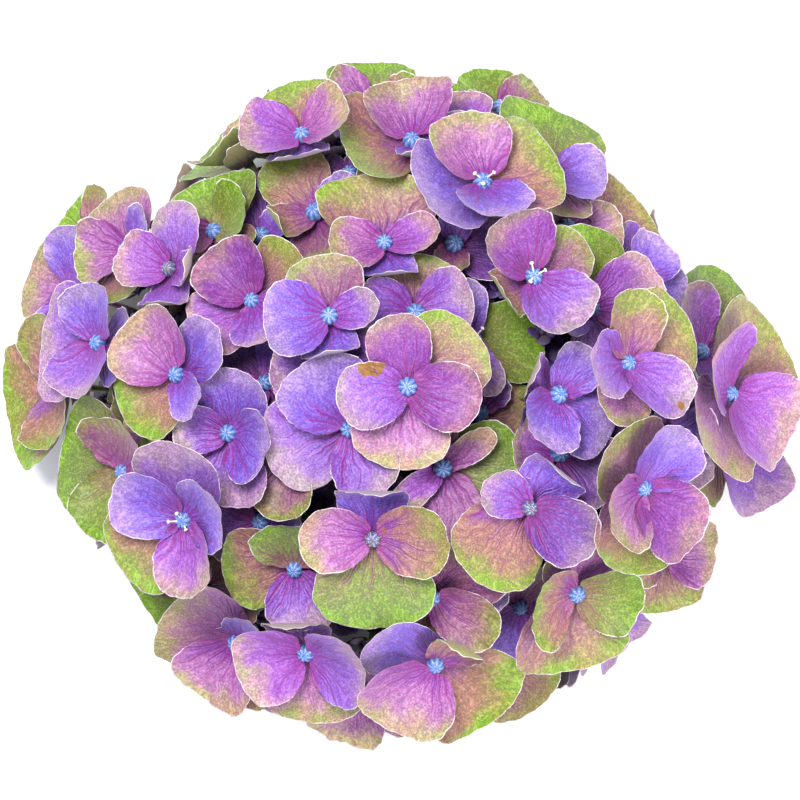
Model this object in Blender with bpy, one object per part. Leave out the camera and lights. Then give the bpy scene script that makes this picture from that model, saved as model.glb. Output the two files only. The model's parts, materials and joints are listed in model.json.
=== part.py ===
"""A cut hydrangea mophead that lies face up.

One rounded head of broad-sepalled florets stands on the flat cut of its short stem, with its
lowest sepals just off the ground. The stem splits into a central ray and two opposite pairs
of side rays, and each ray splits into twigs. Every twig carries one floret, or a spray of
them. Each floret has four or five cupped sepals in two tiers round a small round bud.
"""

import math
import random
from collections import namedtuple

import bmesh
import bpy
from mathutils import Matrix, Vector
from mathutils.bvhtree import BVHTree

MM = 0.001
SEED = 7
SEED_STRIDE = 1009

# The dome that the florets' buds lie on, how far they lean out with it, and the height it is
# looked at from.
DOME_RADIUS = 110 * MM
DOME_TOP = 84 * MM
DOME_CENTRE = Vector((0, 0, DOME_TOP - DOME_RADIUS))
TILT_SHARE = 0.72
VIEW_DISTANCE = 1150 * MM

# Stem, rays and stalks. Reaches are measured from the heart, where the branching spreads from.
HEART = Vector((0, 0, -8 * MM))
STEM_RADIUS = 4.2 * MM
STEM_TAPER = 0.85
STEM_FORK_HEIGHT = 10 * MM
STEM_KNUCKLE_RADIUS = 5.2 * MM
RAY_RADIUS = 2.0 * MM
RAY_TAPER = 0.8
RAY_KNUCKLE_RADIUS = 3.0 * MM
RAY_REACH = 38 * MM
SIDE_RAY_TILT = 55
TWIG_RADIUS = 1.1 * MM
TWIG_REACH = 54 * MM
UNDER_TWIG_REACH = 50 * MM
STALK_RADIUS = 0.9 * MM
SPRAY_FORK_RISE = 6 * MM
SPRAY_FORK_RADIUS = 1.9 * MM
SPRAY_FORK_DEPTH = 1.2 * MM
JOINT_GAP = 0.3 * MM
LIMB_SIDES = 5

# One floret. Its sepals leave a hub of two tiers, the upper sepals from the upper tier. They
# are longer than they show by their lift and by what lies over them.
FULLNESS = 1.1
BUD_RADIUS = 2.5 * MM
BUD_RINGS = ((2.4 * MM, 1.0), (4.3 * MM, 0.68))
BUD_TOP = 5.1 * MM
BUD_MIDDLE = Vector((0, 0, 2.7 * MM))
HUB_RADIUS = 1.7 * MM
HUB_TIERS = (-1.6 * MM, -0.4 * MM, 0.8 * MM)
NECK_DEPTH = 4.2 * MM
SEPAL_THICKNESS = 0.7 * MM
INNER_LENGTH = 0.87
INNER_WIDTH = 0.98
OUTER_WIDTH = 1.2
OUTWARD_LIFT = 7
CROWNWARD_LIFT = 24
FULL_LIFT_DISTANCE = 60
BOWL_START = 0.75
BOWL_DEEPENING = 0.35
TIER_RISE = 0.8 * MM
TIER_SLOPE = 0.12
UPPER_CURL = 0.14
LOWER_CURL = 0.05
WIDEST = 0.6
CLAW_SHARE = 0.14
CLAW_FLARE = 1.8
LIFT_VARIES = 3
EXTRA_LIFT_VARIES = 4
ANGLE_VARIES = 5
LENGTH_VARIES = 0.05
WIDTH_VARIES = 0.06
CURL_VARIES = 0.3
BLADE_STATIONS = (0.32, 0.60, 0.85)
RIB_STATIONS = (0.34, 0.72)
PLATE_START = 0.08
HUB_GUARD = 2.8 * MM
CLAW_DEPTH = 0.6 * MM

# How a floret is let down until it clears the ones above it.
CLEARANCE = 0.4 * MM
RIM_ALLOWANCE = 0.02 * MM
SINK_STEP = 0.5 * MM
DEEPEST_SINK = 20 * MM
SHORTENINGS = (1.0, 0.88, 0.76, 0.64, 0.52, 0.42)

# Angles of the upper and lower sepals from a floret's turn, and how wide the sepals then are.
WHORLS = {
    "four": ((0, 180), (90, 270)),
    "five": ((0, 105, 245), (170, 305)),
    "spread": ((0, 180), (47, 140, 250)),
}
WIDTHS = {"four": 1.0, "five": 0.78, "spread": 0.68}

# The two rings of florets that face outwards under the edge: the lower one stands just clear
# of the floor, and the upper one fills in between it and the dome.
Ring = namedtuple("Ring", "count first reach tilt span height")
LOWER_RING = Ring(13, 3, 74 * MM, 84, 15.5, None)
UPPER_RING = Ring(13, 16, 78 * MM, 66, 15, 36 * MM)
RING_SHIFTS = (0, 5, -5, 10, -10)
RING_TURNS = (45, 65, 85)
RING_TINTS = ("olive", "pink", "green", "violet")
UNDER_SPRAYS = 5
UNDER_LEVEL = 4
FLOOR_GAP = 0.2 * MM
FLOOR_MARGIN = 0.01 * MM

# A floret's bud as seen from above, east and north of the middle in mm, its lower sepals'
# length in mm, the direction of an upper sepal in degrees, its level from the front, its
# tint, how its sepals stand, and any lean. Rows with one name share a spray.
Seat = namedtuple("Seat", "node east north span turn level tint whorl lean", defaults=("four", (0, 0)))
SEATS = (
    Seat("crown_1", 2, 6, 17.5, 95, 0, "pink", "five"),
    Seat("crown_2", -13, -5, 19, 115, 1, "pink"),
    Seat("crown_3", 11, -15, 18, 220, 1, "pink", "spread"),
    Seat("crown_4", 20, -1, 15, 75, 3, "violet", "four", (0.25, 0)),
    Seat("crown_5", 18, 18, 18, 100, 2, "green", "four", (0.3, 0.1)),
    Seat("crown_6", 4, 25, 15, 5, 1, "violet"),
    Seat("crown_7", -18, 24, 16, 185, 0, "violet"),
    Seat("crown_8", -18, 10, 15, 190, 3, "violet"),
    Seat("crown_8", -29, -10, 17, -100, 3, "olive"),
    Seat("crown_9", -7, -33, 21.5, 0, 1, "green"),
    Seat("shoulder_1", -38, 28, 15.5, 125, 1, "pink"),
    Seat("shoulder_1", -35, 7, 15, 215, 2, "violet"),
    Seat("shoulder_2", -14, 35, 15.5, 40, 2, "pink"),
    Seat("shoulder_3", 16, -37, 17, -70, 3, "violet"),
    Seat("shoulder_3", 8, -48, 20, 145, 2, "olive"),
    Seat("shoulder_4", 40, 4, 15.5, 60, 1, "violet", "four", (0.2, 0)),
    Seat("shoulder_5", 41, -11, 15.5, -25, 2, "pink"),
    Seat("shoulder_6", 33, -25, 19, -35, 1, "violet"),
    Seat("shoulder_7", -4, 43, 17, 5, 0, "olive"),
    Seat("shoulder_8", 4, 58, 14, 90, 2, "olive"),
    Seat("shoulder_8", 14, 43, 14, 80, 2, "olive"),
    Seat("shoulder_9", -44, -6, 15, 165, 1, "violet"),
    Seat("shoulder_10", 34, 34, 16.5, 125, 1, "violet"),
    Seat("shoulder_10", 43, 47, 14, 0, 2, "olive"),
    Seat("shoulder_11", -27, -41, 16, -80, 2, "olive"),
    Seat("shoulder_11", -36, -29, 15, 20, 3, "violet"),
    Seat("shoulder_12", 49, 26, 18.5, 15, 1, "green"),
    Seat("shoulder_13", -22, 51, 18, 30, 1, "olive"),
    Seat("shoulder_14", -57, 9, 18, 125, 0, "pink"),
    Seat("shoulder_15", 22, -66, 18, 40, 3, "green"),
    Seat("shoulder_15", 31, -51, 17, -125, 2, "olive"),
    Seat("shoulder_16", 58, 12, 18, 85, 0, "pink", "five"),
    Seat("shoulder_17", -55, -28, 19, -80, 0, "olive", "five"),
    Seat("shoulder_18", 21, 58, 17.5, 110, 0, "olive"),
    Seat("edge_1", 45, -47, 18.5, -5, 1, "olive"),
    Seat("edge_1", 51, -35, 14, 250, 2, "violet"),
    Seat("edge_2", -71, -16, 18.5, -105, 2, "green"),
    Seat("edge_2", -61, -12, 16, 105, 2, "olive"),
    Seat("edge_3", -7, 79, 14, 0, 2, "olive"),
    Seat("edge_3", -13, 61, 13, 60, 3, "violet"),
    Seat("edge_4", 9, -65, 21.5, -125, 1, "olive"),
    Seat("edge_5", 62, -20, 20, -45, 0, "pink", "five"),
    Seat("edge_6", -24, -62, 19, 5, 0, "pink"),
    Seat("edge_7", -48, 46, 15, 10, 2, "green"),
    Seat("edge_7", -36, 45, 13, 20, 2, "violet"),
    Seat("edge_8", -51, -46, 17.5, 125, 2, "green"),
    Seat("edge_8", -42, -60, 18, 235, 1, "pink"),
    Seat("edge_9", 3, 69, 17.5, 100, 0, "olive"),
    Seat("edge_10", -59, 36, 17, 170, 0, "pink"),
    Seat("edge_11", 69, -6, 15, 0, 2, "violet"),
    Seat("edge_11", 85, -9, 20, -80, 2, "olive"),
    Seat("edge_11", 84, 4, 22, -35, 1, "pink"),
    Seat("edge_12", 53, 46, 15, -50, 3, "green"),
    Seat("edge_12", 62, 34, 13, 60, 2, "violet"),
    Seat("edge_13", 15, 71, 13, 90, 2, "violet"),
    Seat("edge_13", 15, 79, 13, 0, 3, "olive"),
    Seat("edge_13", 26, 78, 13, 30, 2, "olive"),
    Seat("edge_14", -9, -72, 18, -115, 2, "pink"),
    Seat("edge_15", 38, 61, 17, -15, 0, "green"),
    Seat("edge_16", -25, 70, 16.5, 0, 0, "olive"),
    Seat("edge_17", 68, -37, 15.5, -5, 2, "olive"),
    Seat("edge_18", -77, 17, 17.5, 80, 0, "violet"),
    Seat("edge_19", 78, 15, 22, 300, 1, "olive", "spread"),
    Seat("edge_20", -80, 46, 13, 40, 3, "green"),
    Seat("edge_20", -70, 41, 16, 5, 2, "olive"),
    Seat("edge_21", -87, 6, 20, 110, 1, "green"),
    Seat("edge_22", -84, 31, 18.5, 70, 1, "olive"),
)

SIDE_RAYS = 4
FIRST_SIDE_RAY = 45
SHARP_ANGLE = 30
ROUGHNESS = 0.6
COLOURS = {
    "violet": (0.33, 0.17, 0.62),
    "pink": (0.62, 0.25, 0.52),
    "olive": (0.42, 0.31, 0.20),
    "green": (0.33, 0.42, 0.09),
    "stem": (0.24, 0.30, 0.10),
}

Bowl = namedtuple("Bowl", "lift extra_lift crownward span")
Sepal = namedtuple("Sepal", "tier angle length width curl bowl")
Spot = namedtuple("Spot", "seat point axis path floor")
Stalk = namedtuple("Stalk", "node tree")


def dome_point(east, north):
    """Point of the dome that shows at (east, north) mm from the viewing point above it."""
    spread = 1.0
    for _ in range(4):
        out = math.hypot(east, north) * MM * spread
        drop = DOME_RADIUS - math.sqrt(DOME_RADIUS ** 2 - out ** 2)
        spread = 1 + drop / VIEW_DISTANCE
    return Vector((east * MM * spread, north * MM * spread, DOME_TOP - drop))


def direction(azimuth, tilt):
    """Unit vector at an azimuth in degrees, leaning out from +Z by tilt degrees."""
    around = math.radians(azimuth)
    out = math.radians(tilt)
    return Vector((math.cos(around) * math.sin(out), math.sin(around) * math.sin(out), math.cos(out)))


def varied(rng, most):
    """A random amount between minus and plus the most."""
    return rng.uniform(-most, most)


def sepals_of(seat):
    """The sepals of one floret, in order round it."""
    rng = random.Random(SEED + SEED_STRIDE * (round(seat.east) + SEED_STRIDE) + round(seat.north))
    near_edge = min(1.0, math.hypot(seat.east, seat.north) / FULL_LIFT_DISTANCE)
    lift = math.radians(OUTWARD_LIFT + varied(rng, LIFT_VARIES))
    extra_lift = math.radians(CROWNWARD_LIFT * near_edge + varied(rng, EXTRA_LIFT_VARIES))
    bowl = Bowl(lift, extra_lift, math.atan2(-seat.north, -seat.east), seat.span * FULLNESS * MM)
    sepals = []
    for lower, offsets in enumerate(WHORLS[seat.whorl]):
        for offset in offsets:
            angle = math.radians((seat.turn + offset + varied(rng, ANGLE_VARIES)) % 360)
            length = bowl.span * (1 + varied(rng, LENGTH_VARIES)) * (1 if lower else INNER_LENGTH)
            width = length * WIDTHS[seat.whorl] * (1 + varied(rng, WIDTH_VARIES))
            width *= OUTER_WIDTH if lower else INNER_WIDTH
            curl = (LOWER_CURL if lower else UPPER_CURL) * (1 + varied(rng, CURL_VARIES))
            sepals.append(Sepal(1 - lower, angle, length, width, curl, bowl))
    return sorted(sepals, key=lambda sepal: sepal.angle)


def bowl_lift(bowl, azimuth):
    """How steeply a floret's bowl rises at an azimuth round it: most on the crown's side."""
    return bowl.lift + bowl.extra_lift * (1 + math.cos(azimuth - bowl.crownward)) / 2


def half_width(sepal, along):
    """Half the width at a share of the length: a narrow claw, then broad with a round end."""
    if along > WIDEST:
        share = math.sqrt(max(0.0, 1 - ((along - WIDEST) / (1 - WIDEST)) ** 2))
    else:
        share = 1 - (1 - CLAW_SHARE) * ((WIDEST - along) / WIDEST) ** CLAW_FLARE
    return sepal.width / 2 * share


def sepal_point(sepal, along, side, off=0.0):
    """Point of a sepal in its floret's frame, side metres from the rib and off its surface."""
    bowl = sepal.bowl
    rise = bowl_lift(bowl, sepal.angle)
    reach = sepal.length * along * math.cos(rise) - off * math.sin(rise)
    cos = math.cos(sepal.angle)
    sin = math.sin(sepal.angle)
    x = reach * cos - side * sin
    y = reach * sin + side * cos
    out = math.hypot(x, y)
    local_lift = bowl_lift(bowl, math.atan2(y, x))
    height = out * math.tan(local_lift)
    height *= BOWL_START + BOWL_DEEPENING * out / bowl.span
    height += sepal.tier * (TIER_RISE + TIER_SLOPE * out) / math.cos(local_lift)
    height += sepal.curl * side * side / (sepal.width / 2)
    middle = (HUB_TIERS[sepal.tier] + HUB_TIERS[sepal.tier + 1]) / 2
    return Vector((x, y, middle + height + off * math.cos(rise)))


def blade_faces(rim, near, far):
    """Triangles over a blade: nine rim points, from the claw's right corner round to its left."""
    spans = [(8, 0), (0, 1), (1, 2)]
    faces = [(rim[a], rim[b], near) for a, b in spans] + [(rim[2], far, near)]
    faces += [(rim[a], rim[a + 1], far) for a in (2, 3, 4, 5)] + [(rim[6], near, far)]
    return faces + [(rim[a], rim[a + 1], near) for a in (6, 7)]


def sepal_plate(sepal, margin):
    """A closed plate that encloses a sepal with a margin all round, for testing what it meets."""
    right = [(along, -1) for along in (PLATE_START, *BLADE_STATIONS)]
    left = [(along, 1) for along in reversed((PLATE_START, *BLADE_STATIONS))]
    stations = right + [(1 + margin / sepal.length, 0)] + left
    points = []
    for face in (1, -1):
        for along, hand in stations:
            off = face * (margin + (CLAW_DEPTH if along == PLATE_START else 0))
            points.append(sepal_point(sepal, along, hand * (half_width(sepal, along) + margin), off))
    deep = SEPAL_THICKNESS / 2 + margin
    points += [sepal_point(sepal, along, 0, off) for off in (deep, -deep) for along in RIB_STATIONS]
    count = len(stations)
    faces = blade_faces(range(count), 2 * count, 2 * count + 1)
    under = blade_faces(range(count, 2 * count), 2 * count + 2, 2 * count + 3)
    faces += [tuple(reversed(face)) for face in under]
    for i in range(count):
        j = (i + 1) % count
        faces += [(i + count, j + count, j), (i + count, j, i)]
    return points, faces


def floret_solid(sepals, start, start_normal, frame):
    """One closed floret: bud, two-tier hub, sharp-rimmed sepals, and a stalk down to its start."""
    count = len(sepals)
    corners = []
    for i in range(count):
        before = sepals[i - 1].angle - (2 * math.pi if i == 0 else 0)
        corners.append((before + sepals[i].angle) / 2)
    points = []
    rings = [(HUB_RADIUS, height) for height in HUB_TIERS]
    rings += [(BUD_RADIUS * share, height) for height, share in BUD_RINGS]
    rings.append((STALK_RADIUS, -NECK_DEPTH))
    for radius, height in rings:
        points += [frame @ Vector((radius * math.cos(a), radius * math.sin(a), height)) for a in corners]
    for a in corners:
        spoke = frame.to_3x3() @ Vector((math.cos(a), math.sin(a), 0))
        points.append(start + (spoke - start_normal * spoke.dot(start_normal)).normalized() * STALK_RADIUS)
    apex = len(points)
    points.append(frame @ Vector((0, 0, BUD_TOP)))
    low, middle, high, bud_low, bud_high, neck, foot = [range(k * count, (k + 1) * count) for k in range(7)]
    faces = [tuple(reversed(foot))]
    for i in range(count):
        j = (i + 1) % count
        for under, over in ((foot, neck), (neck, low), (high, bud_low), (bud_low, bud_high)):
            faces += [(under[i], under[j], over[j]), (under[i], over[j], over[i])]
        faces.append((bud_high[i], bud_high[j], apex))
        tiers = ((low, middle), (middle, high))
        for tier, (under, over) in enumerate(tiers):
            if sepals[i].tier != tier:
                faces += [(under[i], under[j], over[j]), (under[i], over[j], over[i])]
            else:
                base = (under[i], under[j], over[j], over[i])
                faces += add_sepal(points, sepals[i], base, frame)
    return points, faces


def add_sepal(points, sepal, base, frame):
    """Add a sepal's points, and return its faces, out of a side of the hub."""
    right_low, left_low, left_high, right_high = base
    first = len(points)
    right = [(along, -1) for along in BLADE_STATIONS]
    left = [(along, 1) for along in reversed(BLADE_STATIONS)]
    for along, hand in right + [(1, 0)] + left:
        points.append(frame @ sepal_point(sepal, along, hand * half_width(sepal, along)))
    for off in (SEPAL_THICKNESS / 2, -SEPAL_THICKNESS / 2):
        points += [frame @ sepal_point(sepal, along, 0, off) for along in RIB_STATIONS]
    blade = list(range(first, first + 7))
    faces = blade_faces([right_high] + blade + [left_high], first + 7, first + 8)
    under = blade_faces([right_low] + blade + [left_low], first + 9, first + 10)
    faces += [tuple(reversed(face)) for face in under]
    return faces + [(blade[0], right_high, right_low), (left_high, blade[-1], left_low)]


def limb_solid(rings, margin=0.0):
    """A closed tube through (centre, normal, radius) rings."""
    guide = rings[0][1].orthogonal()
    points = []
    for centre, normal, radius in rings:
        right = (guide - normal * guide.dot(normal)).normalized()
        up = normal.cross(right)
        for i in range(LIMB_SIDES):
            turn = 2 * math.pi * i / LIMB_SIDES
            points.append(centre + (right * math.cos(turn) + up * math.sin(turn)) * (radius + margin))
    faces = [tuple(reversed(range(LIMB_SIDES)))]
    for ring in range(len(rings) - 1):
        low = ring * LIMB_SIDES
        high = low + LIMB_SIDES
        for i in range(LIMB_SIDES):
            j = (i + 1) % LIMB_SIDES
            faces += [(low + i, low + j, high + j), (low + i, high + j, high + i)]
    last = (len(rings) - 1) * LIMB_SIDES
    faces.append(tuple(range(last, last + LIMB_SIDES)))
    return points, faces


def ball_solid(centre, radius, subdivisions=1):
    """A faceted ball."""
    bm = bmesh.new()
    bmesh.ops.create_icosphere(bm, subdivisions=subdivisions, radius=radius)
    points = [centre + vert.co for vert in bm.verts]
    faces = [tuple(vert.index for vert in face.verts) for face in bm.faces]
    bm.free()
    return points, faces


def moved(solid, frame):
    """The same solid, placed by a matrix."""
    points, faces = solid
    return [frame @ point for point in points], faces


def floret_frame(point, axis):
    """Matrix of a floret at a point: its axis is +Z, and +X points east as far as it can."""
    across = (Vector((1, 0, 0)) - axis * axis.x).normalized()
    frame = Matrix((across, axis.cross(across), axis)).transposed().to_4x4()
    frame.translation = point
    return frame


def stalk_sleeve(start, start_normal, frame, margin):
    """A tube that encloses a floret's stalk and hub with a margin, for testing what they meet."""
    axis = frame.col[2].to_3d()
    neck = frame @ Vector((0, 0, -NECK_DEPTH))
    top = frame @ Vector((0, 0, HUB_TIERS[-1]))
    rings = [(start, start_normal, STALK_RADIUS), (neck, axis, STALK_RADIUS), (top, axis, HUB_GUARD)]
    return limb_solid(rings, margin)


def tree_of(solid):
    """Search tree of a solid's faces."""
    return BVHTree.FromPolygons(*solid)


def clear_of(tree, others):
    """True where a solid's tree crosses none of the others."""
    return not any(tree.overlap(other) for other in others)


def spray_foot(members):
    """Where a spray or a single floret meets its twig: the point and its outward direction."""
    outward = sum((spot.point - HEART for spot in members), Vector()).normalized()
    reach = UNDER_TWIG_REACH if members[0].seat.level == UNDER_LEVEL else TWIG_REACH
    return HEART + outward * (reach + JOINT_GAP / 2), outward


def settle(options, start, start_normal, stalks, placed):
    """Find where a floret clears its neighbours: the first of its options that lets it down its
    path into a free place, with shorter sepals if it must. Returns its frame and its sepals."""
    node = options[0].seat.node
    others = [stalk.tree for stalk in stalks if stalk.node != node]
    all_stalks = [stalk.tree for stalk in stalks]
    for least in SHORTENINGS:
        for spot in options:
            for step in range(int(DEEPEST_SINK / SINK_STEP) + 1):
                frame = floret_frame(spot.point + spot.path * (step * SINK_STEP), spot.axis)
                stalk = tree_of(stalk_sleeve(start, start_normal, frame, CLEARANCE))
                bud = tree_of(moved(ball_solid(BUD_MIDDLE, BUD_RADIUS + CLEARANCE), frame))
                if not clear_of(stalk, others + placed) or not clear_of(bud, all_stalks + placed):
                    continue
                sepals = sepals_of(spot.seat)
                fitted = fit_sepals(sepals, frame, least, all_stalks + placed, spot.floor)
                if fitted:
                    return frame, fitted
    return None


def fit_sepals(sepals, frame, least, obstacles, floor):
    """Each sepal at the longest share, not under least, that clears the obstacles, or None."""
    fitted = []
    for sepal in sepals:
        for share in SHORTENINGS:
            if share < least:
                return None
            trial = sepal._replace(length=sepal.length * share, width=sepal.width * share)
            solid = moved(sepal_plate(trial, CLEARANCE), frame)
            if min(point.z for point in solid[0]) > floor and clear_of(tree_of(solid), obstacles):
                fitted.append(trial)
                break
        else:
            return None
    return fitted


def face_up_spots():
    """The florets that show from above, front ones first."""
    spots = []
    for seat in SEATS:
        point = dome_point(seat.east, seat.north)
        normal = (point - DOME_CENTRE).normalized()
        upright = Vector((0, 0, 1)).slerp(normal, TILT_SHARE)
        axis = (upright + Vector((*seat.lean, 0))).normalized()
        spots.append([Spot(seat, point, axis, Vector((0, 0, -1)), FLOOR_GAP)])
    return sorted(spots, key=lambda options: options[0].seat.level)


def ring_spots(ring):
    """A ring of florets that face outwards. Each is a list of places to try, nearest first, and
    moves inwards from them."""
    ring_options = []
    for number in range(ring.count):
        middle = ring.first + 360 * number / ring.count
        spray = int(middle % 360 / 360 * UNDER_SPRAYS) + 1
        options = []
        for shift in RING_SHIFTS:
            outward = direction(middle + shift, 90)
            axis = direction(middle + shift, ring.tilt)
            point = outward * ring.reach
            turn = RING_TURNS[number % len(RING_TURNS)]
            tint = RING_TINTS[number % len(RING_TINTS)]
            seat = Seat(f"under_{spray}", point.x / MM, point.y / MM, ring.span, turn, UNDER_LEVEL, tint)
            if ring.height is None:
                frame = floret_frame(point, axis)
                plates = [sepal_plate(sepal, CLEARANCE)[0] for sepal in sepals_of(seat)]
                lowest = min((frame @ corner).z for plate in plates for corner in plate)
                point.z = FLOOR_GAP - lowest + FLOOR_MARGIN
            else:
                point.z = ring.height
            options.append(Spot(seat, point, axis, -outward, FLOOR_GAP))
        ring_options.append(options)
    return ring_options


def under_spots():
    """The florets under the edge."""
    return ring_spots(LOWER_RING) + ring_spots(UPPER_RING)


def new_material(name, colour):
    """A plain Principled material."""
    material = bpy.data.materials.new(name)
    material.use_nodes = True
    shader = material.node_tree.nodes["Principled BSDF"]
    shader.inputs["Base Color"].default_value = (*colour, 1)
    shader.inputs["Roughness"].default_value = ROUGHNESS
    shader.inputs["Metallic"].default_value = 0
    material.diffuse_color = (*colour, 1)
    return material


def mesh_object(name, solid, collection):
    """An object with a solid's mesh."""
    mesh = bpy.data.meshes.new(name)
    points, faces = solid
    mesh.from_pydata(points, [], faces)
    obj = bpy.data.objects.new(name, mesh)
    collection.objects.link(obj)
    return obj


def fuse(name, solids, material):
    """One closed object: the first solid with any others joined to it by a Boolean union."""
    scene_objects = bpy.context.scene.collection
    obj = mesh_object(name, solids[0], scene_objects)
    if len(solids) > 1:
        tools = bpy.data.collections.new(name + "_pieces")
        scene_objects.children.link(tools)
        for number, solid in enumerate(solids[1:]):
            mesh_object(f"{name}_piece_{number}", solid, tools)
        union = obj.modifiers.new("Union", "BOOLEAN")
        union.operation = "UNION"
        union.operand_type = "COLLECTION"
        union.collection = tools
        union.solver = "EXACT"
        evaluated = obj.evaluated_get(bpy.context.evaluated_depsgraph_get())
        fused = bpy.data.meshes.new_from_object(evaluated)
        obj.modifiers.clear()
        obj.data = fused
        for piece in list(tools.objects):
            bpy.data.objects.remove(piece)
        bpy.data.collections.remove(tools)
    obj.data.name = name
    obj.data.materials.clear()
    obj.data.materials.append(material)
    obj.data.shade_smooth()
    obj.data.set_sharp_from_angle(angle=math.radians(SHARP_ANGLE))


def grow_florets(materials):
    """Settle and build every floret. Returns each node's foot, as a point and a direction."""
    spots = face_up_spots() + under_spots()
    members = {}
    for options in spots:
        members.setdefault(options[0].seat.node, []).append(options[0])
    feet = {node: spray_foot(group) for node, group in members.items()}
    stalks = []
    placed = []
    solids = {}
    for options in spots:
        node = options[0].seat.node
        foot, outward = feet[node]
        shared = len(members[node]) > 1
        fork = foot + outward * SPRAY_FORK_RISE
        start = fork - outward * SPRAY_FORK_DEPTH if shared else foot
        settled = settle(options, start, outward, stalks, placed)
        if settled is None:
            continue
        frame, sepals = settled
        parts = solids.setdefault(node, [])
        if shared and not parts:
            parts.append(limb_solid([(foot, outward, STALK_RADIUS), (fork, outward, SPRAY_FORK_RADIUS)]))
        parts.append(floret_solid(sepals, start, outward, frame))
        stalks.append(Stalk(node, tree_of(stalk_sleeve(start, outward, frame, 0))))
        placed.append(tree_of(moved(ball_solid(BUD_MIDDLE, BUD_RADIUS), frame)))
        placed += [tree_of(moved(sepal_plate(sepal, RIM_ALLOWANCE), frame)) for sepal in sepals]
    tints = {options[0].seat.node: options[0].seat.tint for options in reversed(spots)}
    for node, parts in solids.items():
        fuse(node, parts, materials[tints[node]])
    return {node: feet[node] for node in solids}


def build_rays(feet, material):
    """A central ray and two opposite pairs, each with a twig to every foot that is nearest it."""
    directions = {"central_ray": Vector((0, 0, 1))}
    for number in range(SIDE_RAYS):
        azimuth = FIRST_SIDE_RAY + 360 * number / SIDE_RAYS
        directions[f"side_ray_{number + 1}"] = direction(azimuth, SIDE_RAY_TILT)
    fork = Vector((0, 0, STEM_FORK_HEIGHT))
    for name, outward in directions.items():
        knuckle = HEART + outward * RAY_REACH
        along = (knuckle - fork).normalized()
        base = fork + along * (STEM_KNUCKLE_RADIUS + JOINT_GAP)
        solids = [limb_solid([(base, along, RAY_RADIUS), (knuckle, along, RAY_RADIUS * RAY_TAPER)])]
        solids.append(ball_solid(knuckle, RAY_KNUCKLE_RADIUS))
        for foot, foot_outward in feet.values():
            nearest = max(directions, key=lambda key: directions[key].dot(foot_outward))
            if nearest == name:
                tip = foot - foot_outward * JOINT_GAP
                twig = (tip - knuckle).normalized()
                solids.append(limb_solid([(knuckle, twig, TWIG_RADIUS), (tip, foot_outward, STALK_RADIUS)]))
        fuse(name, solids, material)


def build_stem(material):
    """The short stem from its flat cut to the knuckle that the rays leave."""
    up = Vector((0, 0, 1))
    fork = up * STEM_FORK_HEIGHT
    tube = limb_solid([(Vector(), up, STEM_RADIUS), (fork, up, STEM_RADIUS * STEM_TAPER)])
    fuse("stem", [tube, ball_solid(fork, STEM_KNUCKLE_RADIUS, 2)], material)


def main():
    for obj in list(bpy.data.objects):
        bpy.data.objects.remove(obj)
    materials = {name: new_material(name, colour) for name, colour in COLOURS.items()}
    feet = grow_florets(materials)
    build_rays(feet, materials["stem"])
    build_stem(materials["stem"])


main()
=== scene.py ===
"""Looks of a cut hydrangea mophead that lies face up on a pale floor.

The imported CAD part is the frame. Its florets, stalks, rays and stem are grown again here by the
part's own rule, and each floret is found where the part has it, so every visible sepal lies in
the place of a solid one.
"""

from __future__ import annotations

import json
import logging
import math
import random
from collections.abc import Callable, Iterable
from dataclasses import dataclass, field, replace
from enum import Enum
from functools import partial

import bpy
import numpy as np
from mathutils import Matrix, Vector
from mathutils.bvhtree import BVHTree
from mathutils.kdtree import KDTree


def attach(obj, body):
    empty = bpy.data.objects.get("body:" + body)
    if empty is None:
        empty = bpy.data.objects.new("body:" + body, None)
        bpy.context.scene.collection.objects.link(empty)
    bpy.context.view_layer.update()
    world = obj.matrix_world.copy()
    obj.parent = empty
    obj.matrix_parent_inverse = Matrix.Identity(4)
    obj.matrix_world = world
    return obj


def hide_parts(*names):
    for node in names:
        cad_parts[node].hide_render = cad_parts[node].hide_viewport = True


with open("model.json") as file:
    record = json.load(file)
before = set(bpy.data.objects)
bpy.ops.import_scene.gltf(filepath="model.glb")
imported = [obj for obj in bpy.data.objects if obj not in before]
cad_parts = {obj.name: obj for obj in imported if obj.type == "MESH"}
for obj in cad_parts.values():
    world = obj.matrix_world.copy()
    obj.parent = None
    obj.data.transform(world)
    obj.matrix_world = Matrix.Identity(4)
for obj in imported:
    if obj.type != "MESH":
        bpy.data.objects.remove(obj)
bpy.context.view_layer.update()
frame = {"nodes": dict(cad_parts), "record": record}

log = logging.getLogger("scene")

MM = 0.001
BODY = "root"

# The part's own rule, with the part's own sizes.
SEED = 7
SEED_STRIDE = 1009
DOME_RADIUS = 110 * MM
DOME_TOP = 84 * MM
DOME_CENTRE = Vector((0, 0, DOME_TOP - DOME_RADIUS))
TILT_SHARE = 0.72
VIEW_DISTANCE = 1150 * MM
HEART = Vector((0, 0, -8 * MM))
STEM_FORK_HEIGHT = 10 * MM
STEM_KNUCKLE_RADIUS = 5.2 * MM
RAY_REACH = 38 * MM
SIDE_RAYS = 4
FIRST_SIDE_RAY = 45
SIDE_RAY_TILT = 55
TWIG_REACH = 54 * MM
UNDER_TWIG_REACH = 50 * MM
JOINT_GAP = 0.3 * MM
SPRAY_FORK_RISE = 6 * MM
SPRAY_FORK_DEPTH = 1.2 * MM
FULLNESS = 1.1
BUD_TOP = 5.1 * MM
HUB_TIERS = (-1.6 * MM, -0.4 * MM, 0.8 * MM)
SEPAL_THICKNESS = 0.7 * MM
INNER_LENGTH = 0.87
INNER_WIDTH = 0.98
OUTER_WIDTH = 1.2
OUTWARD_LIFT = 7
CROWNWARD_LIFT = 24
FULL_LIFT_DISTANCE = 60
BOWL_START = 0.75
BOWL_DEEPENING = 0.35
TIER_RISE = 0.8 * MM
TIER_SLOPE = 0.12
UPPER_CURL = 0.14
LOWER_CURL = 0.05
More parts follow.
